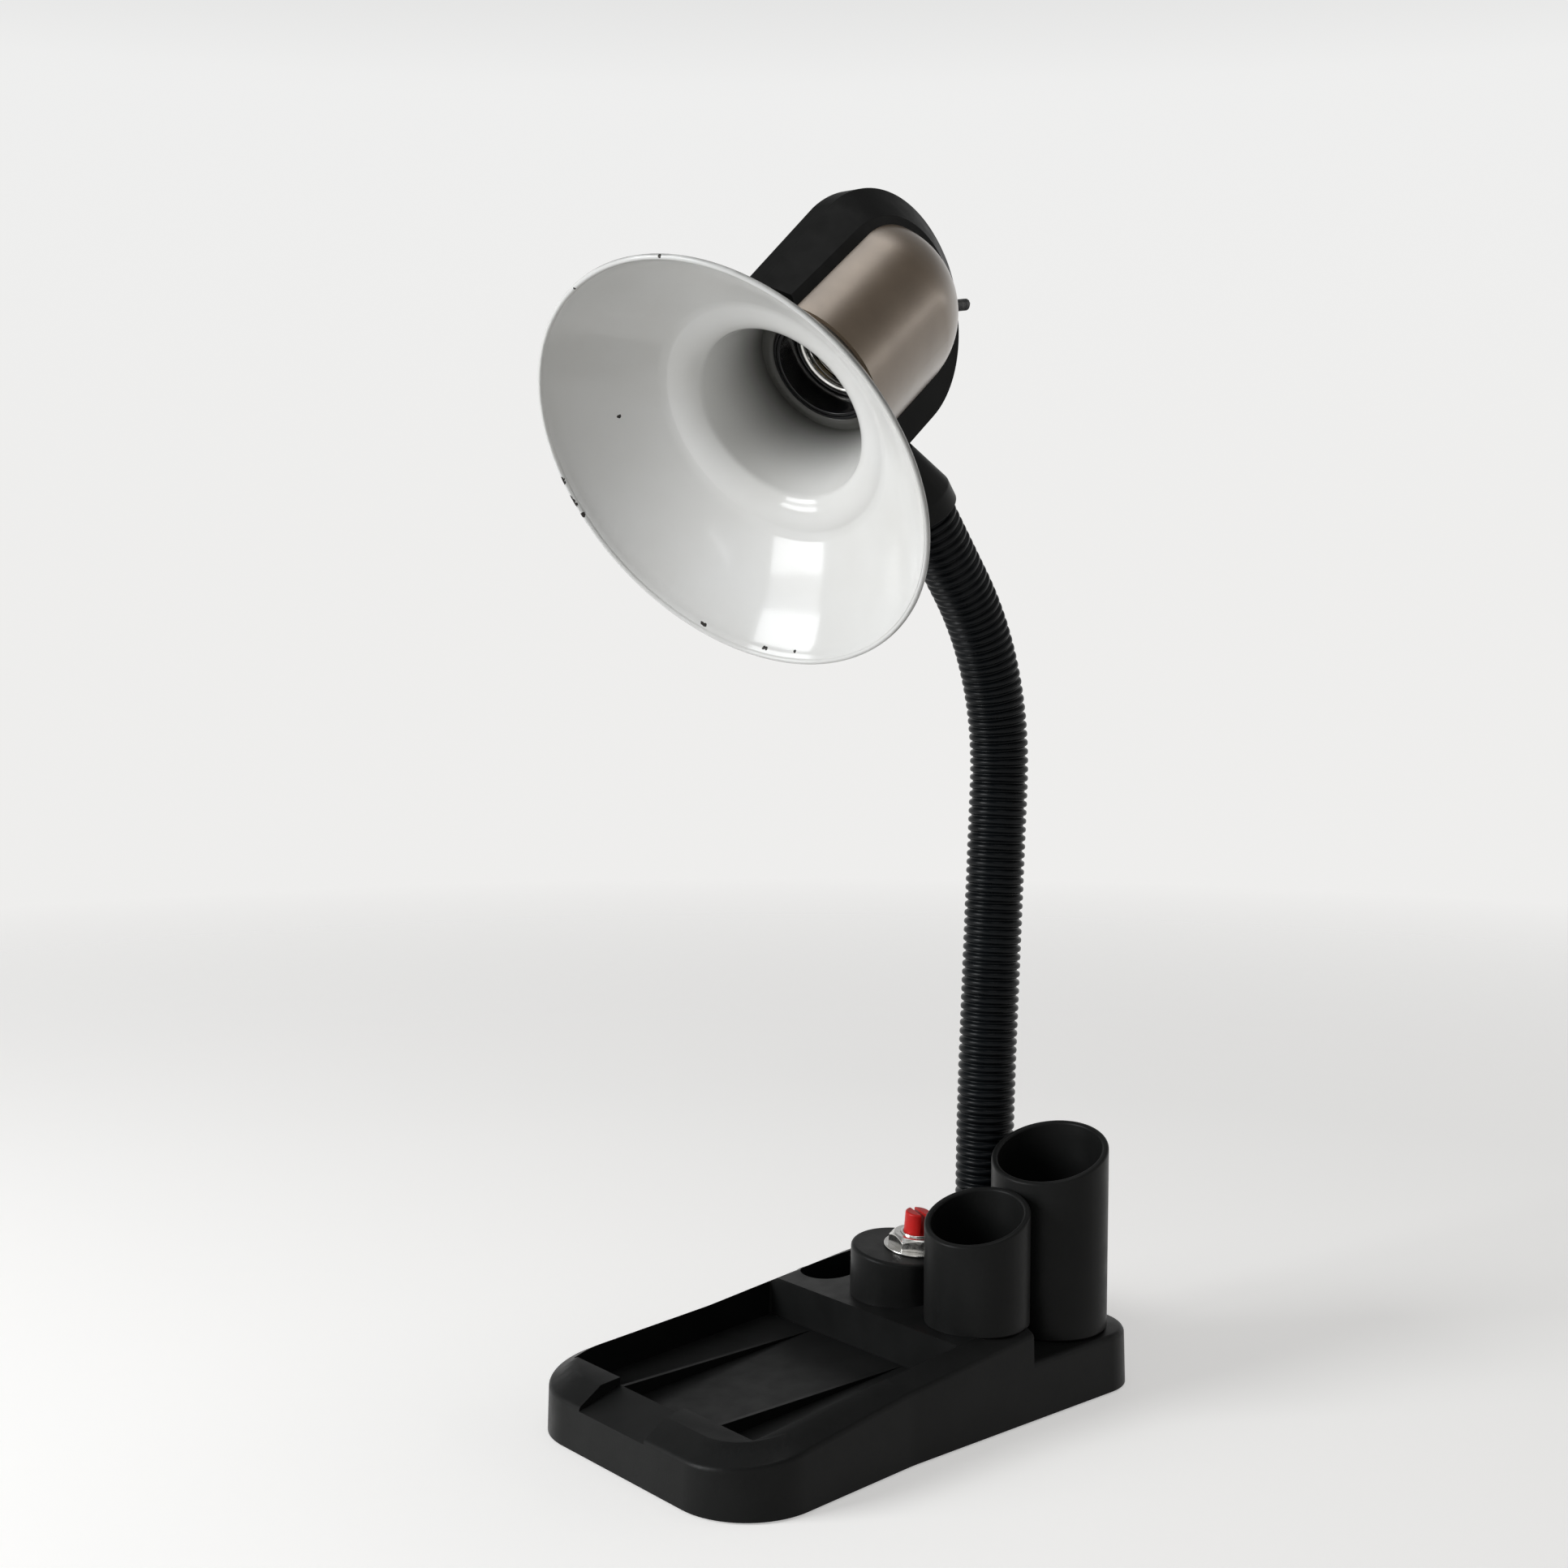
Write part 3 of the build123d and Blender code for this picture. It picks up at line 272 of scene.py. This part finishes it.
enamelLook = {
    "white": (0.80, 0.80, 0.785),
    "cream": (0.75, 0.745, 0.72),
    "chipSteel": (0.020, 0.017, 0.015),
    "rimRadius": 64.7,
    "rimFall": 0.0514,  # how the rim falls back with the height
    "chips": [  # degrees round the rim, radius, place along the head, size
        (82.0, 65.1, 74.9, 0.62), (113.5, 64.5, 75.0, 0.40),
        (179.2, 65.0, 74.9, 0.80), (180.2, 65.0, 74.9, 0.80),
        (184.8, 64.9, 74.8, 0.80), (185.8, 64.9, 74.8, 0.85), (186.9, 64.9, 74.8, 0.80),
        (190.4, 64.7, 74.7, 0.80), (235.0, 63.5, 73.2, 0.55), (236.0, 63.5, 73.2, 0.60),
        (255.1, 63.1, 72.8, 0.60), (256.0, 63.1, 72.8, 0.55), (265.3, 62.7, 72.3, 0.50),
    ],
    "speck": (-48.1, 11.1, 58.2, 0.60),
    "bareEdge": (0.62, 0.85),  # outside the rim's radius, where the enamel has worn thin
    "bareShare": 0.35,
    "bareStray": 0.16,
    "chipReach": (0.55, 1.35),  # how ragged a chip is, in shares of its size
    "chipRough": 0.6,
    "gloss": (0.09, 0.16),
    "noises": dict(mottle=26, ragged=900, stray=120, gloss=60, peel=210),
    "bump": (0.08, 0.10),
    "specular": 0.22,
    "coat": 0.10,
    "coatRough": 0.05,
    # painted shade: a dark colour laid into the throat's inside, standing in for the shade that falls deep in
    # it
    "throatShadow": (0.055, 0.055, 0.048),
    "throatShadowReach": (20.0, 44.0),  # painted shade: the throat darkens from its mouth down to the holder
    "throatShadowCurve": 1.6,
    "throatRise": 0.246,
    "throatMiddle": 16.68,  # half way through the throat's wall, taken back to the head's origin
}


def enamelFinish():
    look = enamelLook
    mat, tree, shader, where = newFinish("whiteEnamel")
    mapping = tree.nodes.new("ShaderNodeMapping")  # the head's own axes, so that the chips sit on the rim
    mapping.vector_type = "TEXTURE"
    place = headMatrix()
    mapping.inputs["Location"].default_value = place.to_translation()
    mapping.inputs["Rotation"].default_value = place.to_euler()
    tree.links.new(where, mapping.inputs["Vector"])
    inHead = mapping.outputs["Vector"]
    noises = {name: noiseNode(tree, where, scale) for name, scale in look["noises"].items() if name != "peel"}
    colour = rampNode(tree, noises["mottle"], [(0.3, look["cream"]), (0.7, look["white"])])
    spots = [look["speck"]]
    for turn, radius, along, size in look["chips"]:
        x, y = radius * math.cos(math.radians(turn)), radius * math.sin(math.radians(turn))
        spots.append((x, y, along - look["rimFall"] * y, size))
    split = tree.nodes.new("ShaderNodeSeparateXYZ")
    tree.links.new(inHead, split.inputs["Vector"])
    squares = [mathNode(tree, "POWER", split.outputs[axis], 2.0) for axis in ("X", "Y")]
    outward = mathNode(tree, "SQRT", mathNode(tree, "ADD", *squares), 0.0)
    stray = look["bareStray"] * mm
    wavy = mathNode(tree, "ADD", outward, rangeNode(tree, noises["stray"], -stray, stray))
    edges = [(look["rimRadius"] + edge) * mm for edge in look["bareEdge"]]
    mask = rangeNode(tree, wavy, 0.0, look["bareShare"], *edges)
    for x, y, z, size in spots:
        away = tree.nodes.new("ShaderNodeVectorMath")
        away.operation = "DISTANCE"
        away.inputs[1].default_value = (x * mm, y * mm, z * mm)
        tree.links.new(inHead, away.inputs[0])
        reach = rangeNode(tree, noises["ragged"], *[share * size * mm for share in look["chipReach"]])
        chip = mathNode(tree, "LESS_THAN", away.outputs["Value"], reach)
        mask = mathNode(tree, "MAXIMUM", mask, chip)
    # painted shade: the throat's inside is darkened towards the holder, standing in for shade deep in the
    # throat
    throatShadowShare = rangeNode(tree, split.outputs["Z"], 1.0, 0.0, *[z * mm for z in look["throatShadowReach"]])
    widening = mathNode(tree, "MULTIPLY", split.outputs["Z"], look["throatRise"])
    wall = mathNode(tree, "SUBTRACT", outward, widening)
    inside = mathNode(tree, "LESS_THAN", wall, look["throatMiddle"] * mm)
    throatShadowShare = mathNode(tree, "MULTIPLY", mathNode(tree, "POWER", throatShadowShare, look["throatShadowCurve"]), inside)
    colour = mixColours(tree, throatShadowShare, colour, look["throatShadow"])
    tree.links.new(mixColours(tree, mask, colour, look["chipSteel"]), shader.inputs["Base Color"])
    glossy = rangeNode(tree, noises["gloss"], *look["gloss"])
    dull = mathNode(tree, "MULTIPLY", mask, look["chipRough"])
    tree.links.new(mathNode(tree, "MAXIMUM", glossy, dull), shader.inputs["Roughness"])
    peel = noiseNode(tree, where, look["noises"]["peel"], 2.0)
    bumpNode(tree, shader, mathNode(tree, "SUBTRACT", peel, mask), *look["bump"])
    shader.inputs["Specular IOR Level"].default_value = look["specular"]
    shader.inputs["Coat Weight"].default_value = look["coat"]
    shader.inputs["Coat Roughness"].default_value = look["coatRough"]
    mat.diffuse_color = (*look["white"], 1)
    return mat


madeFinish["whiteEnamel"] = enamelFinish()

nodeFinish = {
    "blackMoulding": ["base_shell", "short_pen_cup", "tall_pen_cup", "neck_collar", "neck_cap"],
    "blackHead": ["head_housing", "bottom_plate", "lead_clip", "holder_bridge"],
    "blackHolder": ["lampholder_body", "lampholder_ring", "switch_body"],
    "sleeveRubber": ["neck_sleeve_lower", "neck_sleeve_middle", "neck_sleeve_upper"],
    "bronzePaint": ["side_panel_right", "side_panel_left"],
    "nickelPlate": ["switch_bushing", "switch_washer", "switch_nut", "lamp_screw_shell"],
    "zincPlate": ["plate_screws", "neck_foot_washer", "neck_foot_nut", "head_stem_nut"],
    "darkSteel": ["rear_screw"],
    "bareSteel": ["ballast_plate", "neck_core_foot", "neck_core_lower", "neck_core_upper", "neck_core_top"],
    "footRubber": ["base_pad", "inlet_grommet"],
    "redShaft": ["switch_shaft"],
    "brassContact": ["lamp_centre_contact"],
    "whiteEnamel": ["shade"],
}
for finish, names in nodeFinish.items():
    for name in names:
        slots = frame["nodes"][name].data.materials
        slots.clear()
        slots.append(madeFinish[finish])
print("finishes on", sum(len(v) for v in nodeFinish.values()), "solids")


softEdges = {  # the round on the edges of each moulding and metal part, in mm, and the name of its piece
    "base_shell": (0.8, "organiser_base"),
    "short_pen_cup": (0.5, "short_cup"),
    "tall_pen_cup": (0.5, "tall_cup"),
    "head_housing": (0.5, "head_band"),
    "side_panel_right": (0.35, "bronze_panel_right"),
    "side_panel_left": (0.35, "bronze_panel_left"),
    "lampholder_ring": (0.3, "holder_ring"),
    "lampholder_body": (0.3, "holder_body"),
    "holder_bridge": (0.3, "holder_plate"),
    "neck_cap": (0.4, "neck_cone"),
    "neck_collar": (0.3, "neck_ring"),
    "switch_nut": (0.2, "switch_hex_nut"),
    "switch_washer": (0.3, "switch_flange"),
    "switch_bushing": (0.3, "switch_tube"),
    "switch_shaft": (0.35, "switch_red_shaft"),
}
edgeAngle = 32  # degrees, a flatter edge stays as it is
flatEdges = {"head_housing": 19}  # the crest's low creases are kept
flatFaces = 0.3  # degrees, faces that lie this flat to each other become one


def homes():
    bodies = {node: body for body, nodes in frame["record"]["behaviour"]["bodies"].items() for node in nodes}
    slots = {row["node"]: row["material_slot"] for row in frame["record"]["subparts"]}
    return bodies, slots


bodyOf, slotOf = homes()


def settle(piece, node):
    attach(piece, bodyOf[node])
    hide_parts(node)


def softenedCopies():
    for node, (width, name) in softEdges.items():
        piece = bpy.data.objects.new(name, frame["nodes"][node].data.copy())
        bpy.context.scene.collection.objects.link(piece)
        pick(piece)
        bpy.ops.object.mode_set(mode="EDIT")
        bpy.ops.mesh.select_all(action="SELECT")
        bpy.ops.mesh.remove_doubles(threshold=weld / 5)
        bpy.ops.mesh.dissolve_limited(angle_limit=math.radians(flatFaces))
        bpy.ops.object.mode_set(mode="OBJECT")
        angle = flatEdges.get(node, edgeAngle)
        applyModifier(
            piece, "BEVEL", width=width * mm, segments=3, limit_method="ANGLE", angle_limit=math.radians(angle))
        smooth(piece, angle)
        applyModifier(piece, "WEIGHTED_NORMAL", mode="FACE_AREA", keep_sharp=True)  # flat faces stay flat
        settle(piece, node)


softenedCopies()
print("edges softened on", len(softEdges), "pieces")


neckLook = {
    # length and turn forward in degrees
    "runs": [(20.0, 0.0), (60.0, -3.35), (84.3, 0.0), (71.7, 44.75), (35.0, 0.0)],
    "crest": 9.7,
    "valley": 8.7,
    "wall": 0.9,
    "sides": 56,
    "ribs": {"neck_sleeve_lower": 30, "neck_sleeve_middle": 28, "neck_sleeve_upper": 37},
    "rib": [  # share of the pitch, share of the rise
        (0.0, 0.0), (0.06, 0.12), (0.18, 0.72), (0.30, 0.95), (0.45, 1.0),
        (0.60, 0.95), (0.72, 0.72), (0.84, 0.12), (0.90, 0.0),
    ],
    "bodies": {
        "neck_sleeve_lower": ("base", "neck_low"),
        "neck_sleeve_middle": ("neck_low", "neck_high"),
        "neck_sleeve_upper": ("neck_high", "head"),
    },
    "bends": {"neck_sleeve_lower": 45.0, "neck_sleeve_middle": 125.0, "neck_sleeve_upper": 205.0},
    "bendReach": 15.0,
}


def neckPoint(distance):
    # place and direction on the neck's centre line
    place, turn = Vector(lampPlaces["neckFoot"]), 0.0
    ahead, up = Vector(lampPlaces["neckAhead"]), Vector((0, 0, 1))
    left = distance
    for length, bend in neckLook["runs"]:
        step = min(left, length)
        swing = math.radians(bend) * step / length
        if abs(swing) < 1e-9:
            place = place + (ahead * math.sin(turn) + up * math.cos(turn)) * step
        else:
            r = step / swing
            forward = r * (math.cos(turn) - math.cos(turn + swing))
            rise = r * (math.sin(turn + swing) - math.sin(turn))
            place = place + ahead * forward + up * rise
        turn += swing
        left -= step
        if left <= 1e-9:
            break
    return place, ahead * math.sin(turn) + up * math.cos(turn)


def neckPath():
    # one curve through the ends of the straight runs and arcs
    curve = bpy.data.curves.new("neckPath", "CURVE")
    curve.dimensions = "3D"
    curve.resolution_u = 128
    spline = curve.splines.new("BEZIER")
    spline.bezier_points.add(len(neckLook["runs"]))
    walked = 0.0
    reach = []
    for length, bend in neckLook["runs"]:
        swing = abs(math.radians(bend))
        reach.append(length / 3 if swing < 1e-9 else 4 / 3 * math.tan(swing / 4) * length / swing)
    for i, point in enumerate(spline.bezier_points):
        place, way = neckPoint(walked)
        before = reach[i - 1] if i else reach[0]
        after = reach[i] if i < len(reach) else reach[-1]
        point.handle_left_type = point.handle_right_type = "FREE"
        point.co = place * mm
        point.handle_left = (place - way * before) * mm
        point.handle_right = (place + way * after) * mm
        if i < len(reach):
            walked += neckLook["runs"][i][0]
    obj = bpy.data.objects.new("neckPath", curve)
    bpy.context.scene.collection.objects.link(obj)
    return obj, walked


def ribbedSleeves():
    path, total = neckPath()
    pitch = total / sum(neckLook["ribs"].values())
    rise = neckLook["crest"] - neckLook["valley"]
    start = 0.0
    for node, count in neckLook["ribs"].items():
        profile = [(neckLook["valley"] + rise * up, start + along * pitch) for along, up in neckLook["rib"]]
        profile.append((neckLook["valley"], start + pitch))
        sleeve = turnedRings(node.replace("neck_sleeve", "ribbed_sleeve"), profile, neckLook["sides"], False)
        applyModifier(
            sleeve, "ARRAY", count=count, use_relative_offset=False, use_constant_offset=True,
            constant_offset_displace=(0, 0, pitch * mm), use_merge_vertices=True, merge_threshold=2 * weld)
        applyModifier(sleeve, "CURVE", object=path, deform_axis="POS_Z")
        pick(sleeve)
        bpy.ops.object.mode_set(mode="EDIT")
        bpy.ops.mesh.select_all(action="SELECT")
        bpy.ops.mesh.normals_make_consistent(inside=False)
        bpy.ops.object.mode_set(mode="OBJECT")
        applyModifier(sleeve, "SOLIDIFY", thickness=neckLook["wall"] * mm, offset=-1)
        smooth(sleeve, 60)
        sleeve.data.materials.append(madeFinish["sleeveRubber"])
        bend, way = neckPoint(neckLook["bends"][node])
        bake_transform(sleeve)
        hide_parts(node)
        start += count * pitch
    bpy.data.objects.remove(path)


ribbedSleeves()
print("ribbed neck done")


shadeLook = {
    "rim": (64.7, 74.7),
    "crease": (37.0, 49.8),
    "throat": (27.4, 45.4),
    "end": (21.0, 19.4),
    "sag": 2.4,
    "wall": 0.9,
    "bead": 0.8,
    "flange": 17.45,  # radius of the hole at the throat's end
    "flangeEdge": 0.25,
    "lean": 2.94,  # degrees, how much less it looks down than the head
    "sides": 144,
}


def cutThroat(shade, place):
    # the throat ends square to the head, on the bridge
    middle = headMatrix() @ Vector((0, 0, place * mm))
    pick(shade)
    bpy.ops.object.mode_set(mode="EDIT")
    bpy.ops.mesh.select_all(action="SELECT")
    outward = headMatrix().col[2].to_3d()
    bpy.ops.mesh.bisect(plane_co=middle, plane_no=outward, use_fill=False, clear_inner=True)
    bpy.ops.mesh.select_all(action="DESELECT")
    bpy.ops.mesh.select_non_manifold(
        use_wire=False, use_boundary=True, use_multi_face=False, use_non_contiguous=False, use_verts=False)
    bpy.ops.mesh.bridge_edge_loops()
    bpy.ops.mesh.select_all(action="SELECT")
    bpy.ops.mesh.normals_make_consistent(inside=False)
    bpy.ops.object.mode_set(mode="OBJECT")


def enamelShade():
    look = shadeLook
    rim, crease, throat, end, wall = [look[k] for k in ("rim", "crease", "throat", "end", "wall")]
    spare = 2.5  # of the throat, cut off after the lean
    deep = (end[0] - spare * (throat[0] - end[0]) / (throat[1] - end[1]), end[1] - spare)
    flareMiddle = ((rim[0] + crease[0]) / 2 + look["sag"], (rim[1] + crease[1]) / 2)
    stepMiddle = ((crease[0] + throat[0]) / 2, crease[1] - wall)
    inner = arcPoints(rim, flareMiddle, crease, 14)
    inner += arcPoints(crease, stepMiddle, throat, 12)[1:]
    for t in (0.04, 0.12, 0.3, 0.6, 1.0):
        inner.append((throat[0] + (deep[0] - throat[0]) * t, throat[1] + (deep[1] - throat[1]) * t))
    outer = [(deep[0] + wall, deep[1])]
    neckline = (throat[0] + wall, throat[1] - 2 * wall)
    for t in (0.6, 0.3, 0.1):
        outer.append((neckline[0] + (deep[0] - throat[0]) * t, neckline[1] + (deep[1] - neckline[1]) * t))
    fold = (crease[0], crease[1] - wall)
    outer += arcPoints(neckline, (stepMiddle[0] + wall, stepMiddle[1] - wall), fold, 12)
    outer += arcPoints(fold, (flareMiddle[0], flareMiddle[1] - wall), (rim[0], rim[1] - wall), 14)[1:]
    # the rolled rim, from the outside of the flare round to the inside
    centre = (rim[0], rim[1] - wall / 2)
    bead = []
    first, sweep, steps = -205, 330, 12  # degrees
    for i in range(steps + 1):
        a = math.radians(first + i * sweep / steps)
        bead.append((centre[0] + look["bead"] * math.cos(a), centre[1] + look["bead"] * math.sin(a)))
    profile = inner[1:] + outer[:-1] + bead
    profile.append(profile[0])
    shade = turnedRings("enamel_shade", profile, look["sides"], True)
    lean = Matrix.Identity(4)
    lean[2][1] = -math.tan(math.radians(look["lean"]))
    shade.data.transform(headMatrix() @ lean)
    cutThroat(shade, end[1])
    hole, outside, low, high = look["flange"], end[0] + wall / 2, end[1], end[1] + wall
    edge = look["flangeEdge"]
    ring = [(hole, low), (outside, low), (outside, high), (hole + edge, high), (hole, high - edge), (hole, low)]
    flange = turnedRings("shade_flange", ring, look["sides"], True)
    flange.data.transform(headMatrix())
    pick(shade)
    flange.select_set(True)
    bpy.ops.object.join()
    smooth(shade, 50)
    shade.data.materials.append(madeFinish["whiteEnamel"])
    settle(shade, "shade")


enamelShade()
print("enamel shade done")


shellLook = {
    "bore": 13.3,
    "wall": 0.6,
    "lip": (12.5, 14.8),
    "top": 11.5,
    "plain": 1.2,  # above the thread
    "length": 20.0,
    "pitch": 3.62,
    "depth": 0.75,
    "sides": 72,
}
stubLook = {
    "place": (0.0, -17.12, -45.23),  # on the head's back
    "drop": 27.0,  # degrees below the head's axis
    "radius": 1.9,
    "reach": 9.5,
    "inside": 9.0,
    "pitch": 0.8,
    "depth": 0.42,
    "sides": 40,
}


def threadWinding(name, radius, depth, pitch, low, high, sides, closed):
    # the outline of one thread, wound up by the screw modifier and cut square at both ends
    deselectAll()
    bpy.ops.mesh.primitive_plane_add(size=1.0)
    winding = bpy.context.object
    winding.name = name
    bpy.ops.object.mode_set(mode="EDIT")
    bpy.ops.mesh.select_all(action="SELECT")
    bpy.ops.mesh.merge(type="CENTER")
    bpy.ops.transform.translate(value=(radius * mm, 0, (low - pitch) * mm))
    steps = 12
    was = radius
    for i in range(1, steps + 1):
        wave = radius + depth / 2 * (1 - math.cos(2 * math.pi * i / steps))
        step = ((wave - was) * mm, 0, pitch / steps * mm)
        bpy.ops.mesh.extrude_vertices_move(TRANSFORM_OT_translate={"value": step})
        was = wave
    bpy.ops.object.mode_set(mode="OBJECT")
    turns = math.ceil((high - low) / pitch) + 1
    applyModifier(
        winding, "SCREW", angle=2 * math.pi, screw_offset=pitch * mm, iterations=turns,
        steps=sides, render_steps=sides, use_merge_vertices=True, merge_threshold=weld)
    pick(winding)
    bpy.ops.object.mode_set(mode="EDIT")
    bpy.ops.mesh.select_all(action="SELECT")
    bpy.ops.mesh.remove_doubles(threshold=weld)
    for height, above in ((high, True), (low, False)):
        bpy.ops.mesh.select_all(action="SELECT")
        bpy.ops.mesh.bisect(
            plane_co=(0, 0, height * mm), plane_no=(0, 0, 1), use_fill=closed,
            clear_outer=above, clear_inner=not above)
    bpy.ops.mesh.select_all(action="SELECT")
    bpy.ops.mesh.normals_make_consistent(inside=False)
    bpy.ops.object.mode_set(mode="OBJECT")
    return winding


def threadedShell():
    look = shellLook
    bore = look["bore"]
    low, high = look["top"] - look["length"], look["top"] - look["plain"]
    shell = threadWinding("threaded_shell", bore, look["depth"], look["pitch"], low, high, look["sides"], False)
    applyModifier(shell, "SOLIDIFY", thickness=look["wall"] * mm, offset=1)
    inside, outside = look["lip"]
    middle, r = (inside + outside) / 2, (outside - inside) / 2  # the rolled lip at the mouth
    around = [math.radians(a) for a in range(0, 361, 24)]
    ring = [(middle + r * math.cos(a), look["top"] - r + r * math.sin(a)) for a in around]
    lip = turnedRings("threaded_shell_lip", ring, look["sides"], True)
    pick(shell)
    lip.select_set(True)
    bpy.ops.object.join()
    bakePlace(shell, headMatrix())
    smooth(shell, 60)
    shell.data.materials.clear()
    shell.data.materials.append(madeFinish["nickelPlate"])
    settle(shell, "lamp_screw_shell")


def threadedStub():
    look = stubLook
    core = look["radius"] - look["depth"]
    low, high = -look["inside"], look["reach"]
    stub = threadWinding("threaded_stub", core, look["depth"], look["pitch"], low, high, look["sides"], True)
    turn = Matrix.Rotation(math.radians(180 - look["drop"]), 4, "X")
    bakePlace(stub, headMatrix() @ Matrix.Translation(Vector(look["place"]) * mm) @ turn)
    smooth(stub, 50)
    stub.data.materials.clear()
    stub.data.materials.append(madeFinish["darkSteel"])
    settle(stub, "rear_screw")


threadedShell()
threadedStub()
print("threads done")


studioLook = {
    "floorRadius": 1.6,
    "floorColour": (0.86, 0.85, 0.835),
    "floorRough": 0.85,
    "floorSheen": 0.1,
    "floorTint": (1, 0.995, 0.985),
    "floorFade": (0.45, 1.30),
    "floorGlow": 0.44,  # only seen, it lights nothing
    "backdrop": [  # from level to overhead
        (0.50, (0.86, 0.855, 0.845)), (0.62, (0.86, 0.86, 0.855)), (0.76, (0.30, 0.30, 0.30)),
        (0.92, (0.24, 0.24, 0.24)), (0.975, (0.95, 0.96, 0.97)),
    ],
    "ambient": (0.10, 0.10, 0.10),
    "daylight": (0.97, 0.985, 1.0),
    "ceiling": (1.0, 0.99, 0.97),
    "indoors": (1.0, 0.98, 0.95),
    "lamps": {
        "windowLow": dict(place=(-0.42, -1.17, 0.305), size=(0.56, 0.19), power=4.2, colour="daylight"),
        "windowHigh": dict(place=(-0.40, -1.10, 0.70), size=(0.60, 0.30), power=7.2, colour="daylight"),
        "windowMiddle": dict(place=(-0.41, -1.14, 0.475), size=(0.52, 0.15), power=1.0, colour="daylight"),
        "lowGlint": dict(
            place=(0.35, -1.21, 0.155), size=(0.31, 0.05), power=0.16, colour="daylight", roll=-47.0),
        "overhead": dict(place=(0.12, 0.08, 1.40), size=(0.55, 0.55), power=1.7, colour="ceiling"),
        "fillLamp": dict(place=(0.95, -0.75, 0.75), size=(0.9, 0.7), power=0.3, colour="indoors"),
        "stripLamp": dict(place=(0.70, 0.95, 0.63), size=(0.8, 0.03), power=0.5, colour="indoors"),
    },
    "aim": (0.0, 0.0, 0.22),
}


def seenRays(tree):
    # 1 for what the camera sees, straight or in metal and glass
    path = tree.nodes.new("ShaderNodeLightPath")
    seen = mathNode(tree, "MAXIMUM", path.outputs["Is Camera Ray"], path.outputs["Is Transmission Ray"])
    return mathNode(tree, "MAXIMUM", seen, path.outputs["Is Glossy Ray"])


def studioFloor():
    deselectAll()
    bpy.ops.mesh.primitive_circle_add(vertices=96, radius=studioLook["floorRadius"], fill_type="NGON")
    floor = bpy.context.object
    floor.name = "studioFloor"
    mat, tree, shader, where = newFinish("paleFloor")
    shader.inputs["Base Color"].default_value = (*studioLook["floorColour"], 1)
    shader.inputs["Roughness"].default_value = studioLook["floorRough"]
    shader.inputs["Specular IOR Level"].default_value = studioLook["floorSheen"]
    shader.inputs["Emission Color"].default_value = (*studioLook["floorTint"], 1)
    glow = mathNode(tree, "MULTIPLY", seenRays(tree), studioLook["floorGlow"])
    tree.links.new(glow, shader.inputs["Emission Strength"])
    away = tree.nodes.new("ShaderNodeVectorMath")
    away.operation = "LENGTH"
    tree.links.new(where, away.inputs[0])
    near, far = studioLook["floorFade"]
    gone = rangeNode(tree, away.outputs["Value"], 0.0, 1.0, near, far)
    clear = tree.nodes.new("ShaderNodeBsdfTransparent")
    mix = tree.nodes.new("ShaderNodeMixShader")
    tree.links.new(gone, mix.inputs["Fac"])
    tree.links.new(shader.outputs["BSDF"], mix.inputs[1])
    tree.links.new(clear.outputs["BSDF"], mix.inputs[2])
    tree.links.new(mix.outputs["Shader"], tree.nodes["Material Output"].inputs["Surface"])
    floor.data.materials.append(mat)


def studioWorld():
    world = bpy.data.worlds.new("studioWorld")
    bpy.context.scene.world = world
    world.use_nodes = True
    tree = world.node_tree
    soft = tree.nodes["Background"]
    soft.inputs["Color"].default_value = (*studioLook["ambient"], 1)
    coords = tree.nodes.new("ShaderNodeTexCoord")
    split = tree.nodes.new("ShaderNodeSeparateXYZ")
    tree.links.new(coords.outputs["Generated"], split.inputs["Vector"])
    height = rangeNode(tree, split.outputs["Z"], 0.0, 1.0, -1.0, 1.0)
    pale = tree.nodes.new("ShaderNodeBackground")
    tree.links.new(rampNode(tree, height, studioLook["backdrop"]), pale.inputs["Color"])
    mix = tree.nodes.new("ShaderNodeMixShader")
    tree.links.new(seenRays(tree), mix.inputs["Fac"])
    tree.links.new(soft.outputs["Background"], mix.inputs[1])
    tree.links.new(pale.outputs["Background"], mix.inputs[2])
    tree.links.new(mix.outputs["Shader"], tree.nodes["World Output"].inputs["Surface"])


def studioLamps():
    for name, lamp in studioLook["lamps"].items():
        light = bpy.data.lights.new(name, "AREA")
        light.shape = "RECTANGLE"
        light.size, light.size_y = lamp["size"]
        light.energy = lamp["power"]
        light.color = studioLook[lamp["colour"]]
        obj = bpy.data.objects.new(name, light)
        bpy.context.scene.collection.objects.link(obj)
        obj.location = lamp["place"]
        facing = (Vector(studioLook["aim"]) - Vector(lamp["place"])).to_track_quat("-Z", "Y")
        roll = Quaternion((0, 0, 1), math.radians(lamp.get("roll", 0.0)))
        obj.rotation_euler = (facing @ roll).to_euler()


cameraLook = {
    "place": (0.471, -0.42725, 0.250),
    "turn": (85.25, 0.0, 49.5),
    "lens": 47.33,
    "sensor": 36.0,
    "nearest": 0.01,
}


def photoCamera():
    camera = bpy.data.cameras.new("photoCamera")
    camera.lens = cameraLook["lens"]
    camera.sensor_width = cameraLook["sensor"]
    camera.clip_start = cameraLook["nearest"]
    obj = bpy.data.objects.new("photoCamera", camera)
    bpy.context.scene.collection.objects.link(obj)
    obj.location = cameraLook["place"]
    obj.rotation_euler = [math.radians(a) for a in cameraLook["turn"]]
    bpy.context.scene.camera = obj


studioFloor()
studioWorld()
studioLamps()
photoCamera()
bpy.context.scene.view_settings.view_transform = "Standard"
print("studio done")
